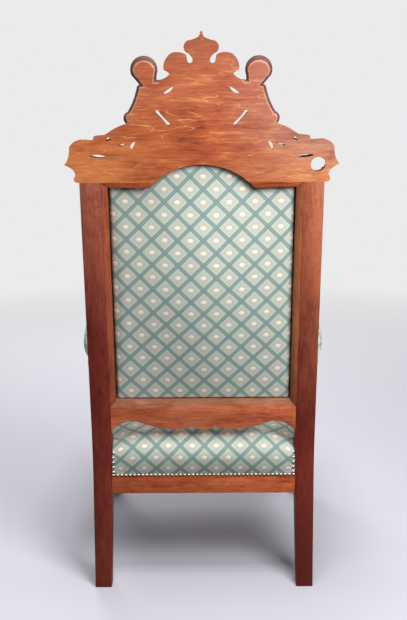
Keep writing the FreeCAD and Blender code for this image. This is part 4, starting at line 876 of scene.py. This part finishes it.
# carving on the crest in millimetres (x, v): leaves from base to tip with half width and lobes; volutes with
# height, middle, radius, turn and hand; lines of the piercings with the reach kept clear round each
LEAVES = (((118, 232), (150, 152), 24, 5), ((56, 236), (84, 244), 7, 3), ((60, 196), (100, 190), 11, 3),
          ((52, 128), (120, 116), 15, 4), ((128, 140), (84, 196), 12, 4), ((206, 74), (168, 60), 12, 3),
          ((206, 78), (246, 86), 10, 3), ((262, 84), (302, 84), 12, 3))
VOLUTES = ((7, (61, 282), 22, 0.4, 1), (7, (136, 84), 22, 1.2, -1), (6.5, (206, 56), 20, 0.2, 1),
           (6, (252, 42), 14, 2.0, -1))
PIERCINGS = (((91, 213), (67, 230), 8), ((107, 172), (80, 141), 8.5), ((186, 95), (203, 93), 6.5),
             ((165, 80), (164, 98), 8), ((219, 107), (231, 103), 8), ((230, 65), (273, 67), 8),
             ((BORE_X, BORE_V), (BORE_X - 0.1, BORE_V), 22))


def carved_relief():
    """Carving on the front of the crest as a height over its face, the same on both sides: an oval boss in a
    scrolled frame, a palmette in the crown, leaves, volutes and a pearled moulding along the arch, clear of
    the piercings."""
    v, x_all = grid(np.arange(20, 346, 1.75), np.arange(-318, 319, 1.75))
    x = np.abs(x_all)
    boss_v, pearl = 172, 12
    oval = np.hypot(x / 36, (v - boss_v) / 50)
    stem, part = near_line(x, v, (0, 238), (0, 300))
    carved = [8 * round_over(oval, 0.8), 9 * round_over(oval - 1, 0.12),
              6 * round_over(oval - 1.32, 0.13) * (0.8 + 0.2 * np.cos(30 * np.arctan2(v - boss_v, x))),
              6 * round_over(stem, 9 - 4 * part) * (0.85 + 0.15 * np.cos(x * 1.4))]
    for angle, length in ((0, 36), (32, 33), (63, 30), (95, 26)):
        tip = (length * math.sin(math.radians(angle)), 302 + length * math.cos(math.radians(angle)))
        carved.append(8 * leaf(x, v, (0, 298), tip, 7.5, 2))
    carved += [8.5 * leaf(x, v, *row) for row in LEAVES]
    carved += [height * volute(x, v, *row) for height, *row in VOLUTES]
    above = v + CREST_FOOT - ARCH_CENTRE
    around, angle = np.hypot(x, above) - ARCH_RADIUS, np.arctan2(x, above)
    beads = 0.72 + 0.28 * np.cos(angle * ARCH_RADIUS * 2 * pi / pearl)
    carved.append(6 * round_over(around - 25, 5) * beads * (v > 22) * (angle < 0.76))
    beads = 0.72 + 0.28 * np.cos(x * 2 * pi / pearl)
    carved.append(6 * round_over(v - 29, 5) * (x > 142) * (x < 300) * beads)
    height = np.maximum.reduce(carved)
    for start, end, reach in PIERCINGS:
        height = height * np.clip((near_line(x, v, start, end)[0] - reach) / 3, 0, 1)
    height = height - 0.6
    points = back_frame(x_all, BACK_FRONT - height, v + CREST_FOOT)
    faces = grid_faces(*x.shape)
    faces = faces[(height.ravel()[faces] > -0.55).any(1)]
    kept, faces = np.unique(faces, return_inverse=True)
    piece("crest_carving", points.reshape(-1, 3)[kept], faces.reshape(-1, 4), "crest")


def all_rosettes():
    """Rosettes on the crest's round heads, the sides of the arm scrolls and the blocks of the front legs."""
    scroll_y, scroll_z, scroll_half, block_z = -625, 606, 24, 299
    to_rear, upward, up_back = (0, 1, 0), (0, 0, 1), (0, math.sin(RAKE), math.cos(RAKE))
    for side, sign in SIDES.items():
        outward = (sign, 0, 0)
        head = back_frame(sign * HEAD_X, BACK_FRONT, CREST_FOOT + HEAD_V + 0.5)
        rosette("head_rosette_" + side, head, (outward, up_back, tuple(-REAR)), 25, 11, 9, "crest")
        for face, out in (("outer", sign), ("inner", -sign)):
            scroll = seat_frame(sign * LEG_X + out * scroll_half, scroll_y, scroll_z)
            rosette(f"arm_rosette_{side}_{face}", scroll, (to_rear, upward, (out, 0, 0)), 19, 2.9, 8, "arm")
        front = seat_frame(sign * LEG_X, LEG_Y - LEG_BLOCK / 2, block_z)
        rosette("leg_rosette_front_" + side, front, ((1, 0, 0), upward, (0, -1, 0)), 18, 5, 8, "post")
        flank = seat_frame(sign * (LEG_X + LEG_BLOCK / 2), LEG_Y, block_z)
        rosette("leg_rosette_side_" + side, flank, (to_rear, upward, outward), 18, 5, 8, "post")


rear_back_pad()
front_back_pad()
seat_pad()
arm_pad("left", 1)
arm_pad("right", -1)
all_nails()
all_webbing()
carved_relief()
all_rosettes()

for side in SIDES:
    eased("back_post_" + side, 1.8, ["post"])
    eased("bead_side_" + side, 1.6, ["bead"])
    eased("bead_top_" + side, 0.8, ["rail"], twisted_bead)
    eased("arm_" + side, 2.0, ["arm"])
    eased("side_seat_rail_" + side, 1.2, ["arm"])
for cad_node, finish in {"lower_back_rail": "back_rail", "rear_seat_rail": "rail",
                         "front_seat_rail": "rail"}.items():
    eased(cad_node, 1.2, [finish, "ledge"], painted_shade_on_ledges)
eased("crest_board", 1.0, ["crest", "rim", "shoulder", "arris", "ledge"], shaped_crest)

for cad_node, finish in {"front_leg": "post", "corner_block_front": "beech",
                         "corner_block_rear": "beech"}.items():
    for side in SIDES:
        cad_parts[f"{cad_node}_{side}"].material_slots[0].material = materials[finish]


def seen_directly(add):
    """1 for rays from the camera, also off a gloss or through glass, and 0 for light between surfaces."""
    ray = add("LightPath", out=None)
    seen = ray["Is Camera Ray"]
    for kind in ("Is Glossy Ray", "Is Transmission Ray"):
        seen = add("Math", [seen, ray[kind]], operation="MAXIMUM")
    return seen


def studio():
    """Pale floor that fades into the background, a soft world and three large lamps."""
    background = linear("#ebebec")
    ground = bpy.data.meshes.new("floor")
    ground.from_pydata([(-30, -30, 0), (30, -30, 0), (30, 30, 0), (-30, 30, 0)], [], [(0, 1, 2, 3)])
    floor = stand("floor", ground)
    made, add, shader = new_material("pale_floor")
    ground.materials.append(made)
    place = add("TexCoord", out="Object")
    far = add("VectorMath", [place], operation="LENGTH", out="Value")
    far = add("MapRange", [far, 1.0, 3.4])
    seen = seen_directly(add)
    blended_in = add("Math", [seen, far], operation="MULTIPLY")
    # pale to the eye, but it throws little light back up on the chair
    tint = add("Mix", {0: seen, 6: linear("#5c5a5c"), 7: linear("#d3d2dc")}, data_type="RGBA", out=2)
    feed(shader, {"Base Color": tint, "Roughness": 0.9})
    glow = add("Emission", {"Color": background})
    mixed = add("MixShader", [blended_in, shader.outputs[0], glow])
    feed(made.node_tree.nodes["Material Output"], {"Surface": mixed})

    scene.world = bpy.data.worlds.new("studio")
    scene.world.use_nodes = True
    add = partial(node, scene.world.node_tree)
    light = add("Background", {"Color": linear("#f4f4f8"), "Strength": 0.16})
    shown = add("Background", {"Color": background, "Strength": 1.0})
    mixed = add("MixShader", [seen_directly(add), light, shown])
    feed(scene.world.node_tree.nodes["World Output"], {"Surface": mixed})

    middle = Vector((0, 0.1, 0.85))
    for name, spot, size, power in (("key", (-0.72, 1.35, 1.82), 0.8, 30.5),
                                    ("top", (0.0, 0.75, 3.1), 1.0, 44),
                                    ("front", (0.5, -2.4, 2.2), 2.0, 58)):
        lamp = bpy.data.lights.new(name, "AREA")
        assign(lamp, size=size, energy=power)
        turn = (Vector(spot) - middle).to_track_quat("Z", "Y").to_euler()
        assign(stand(name, lamp), visible_camera=False, location=spot, rotation_euler=turn)


def camera():
    """Camera behind the chair at the photo's height, tilt and roll; 960 pixels of focal length in 620."""
    lens = bpy.data.cameras.new("camera")
    assign(lens, sensor_fit="VERTICAL", sensor_height=36.0, lens=36.0 * 960 / 620)
    holder = stand("camera", lens)
    tilt = Matrix.Rotation(math.radians(90 - 14.7), 4, "X")
    roll = Matrix.Rotation(math.radians(-0.29), 4, "Z")
    holder.matrix_world = (Matrix.Translation((-0.0023, (BEND_DEPTH + 2419.5) * MM, 1.415))
                           @ Matrix.Rotation(pi, 4, "Z") @ tilt @ roll)
    scene.camera = holder


studio()
camera()
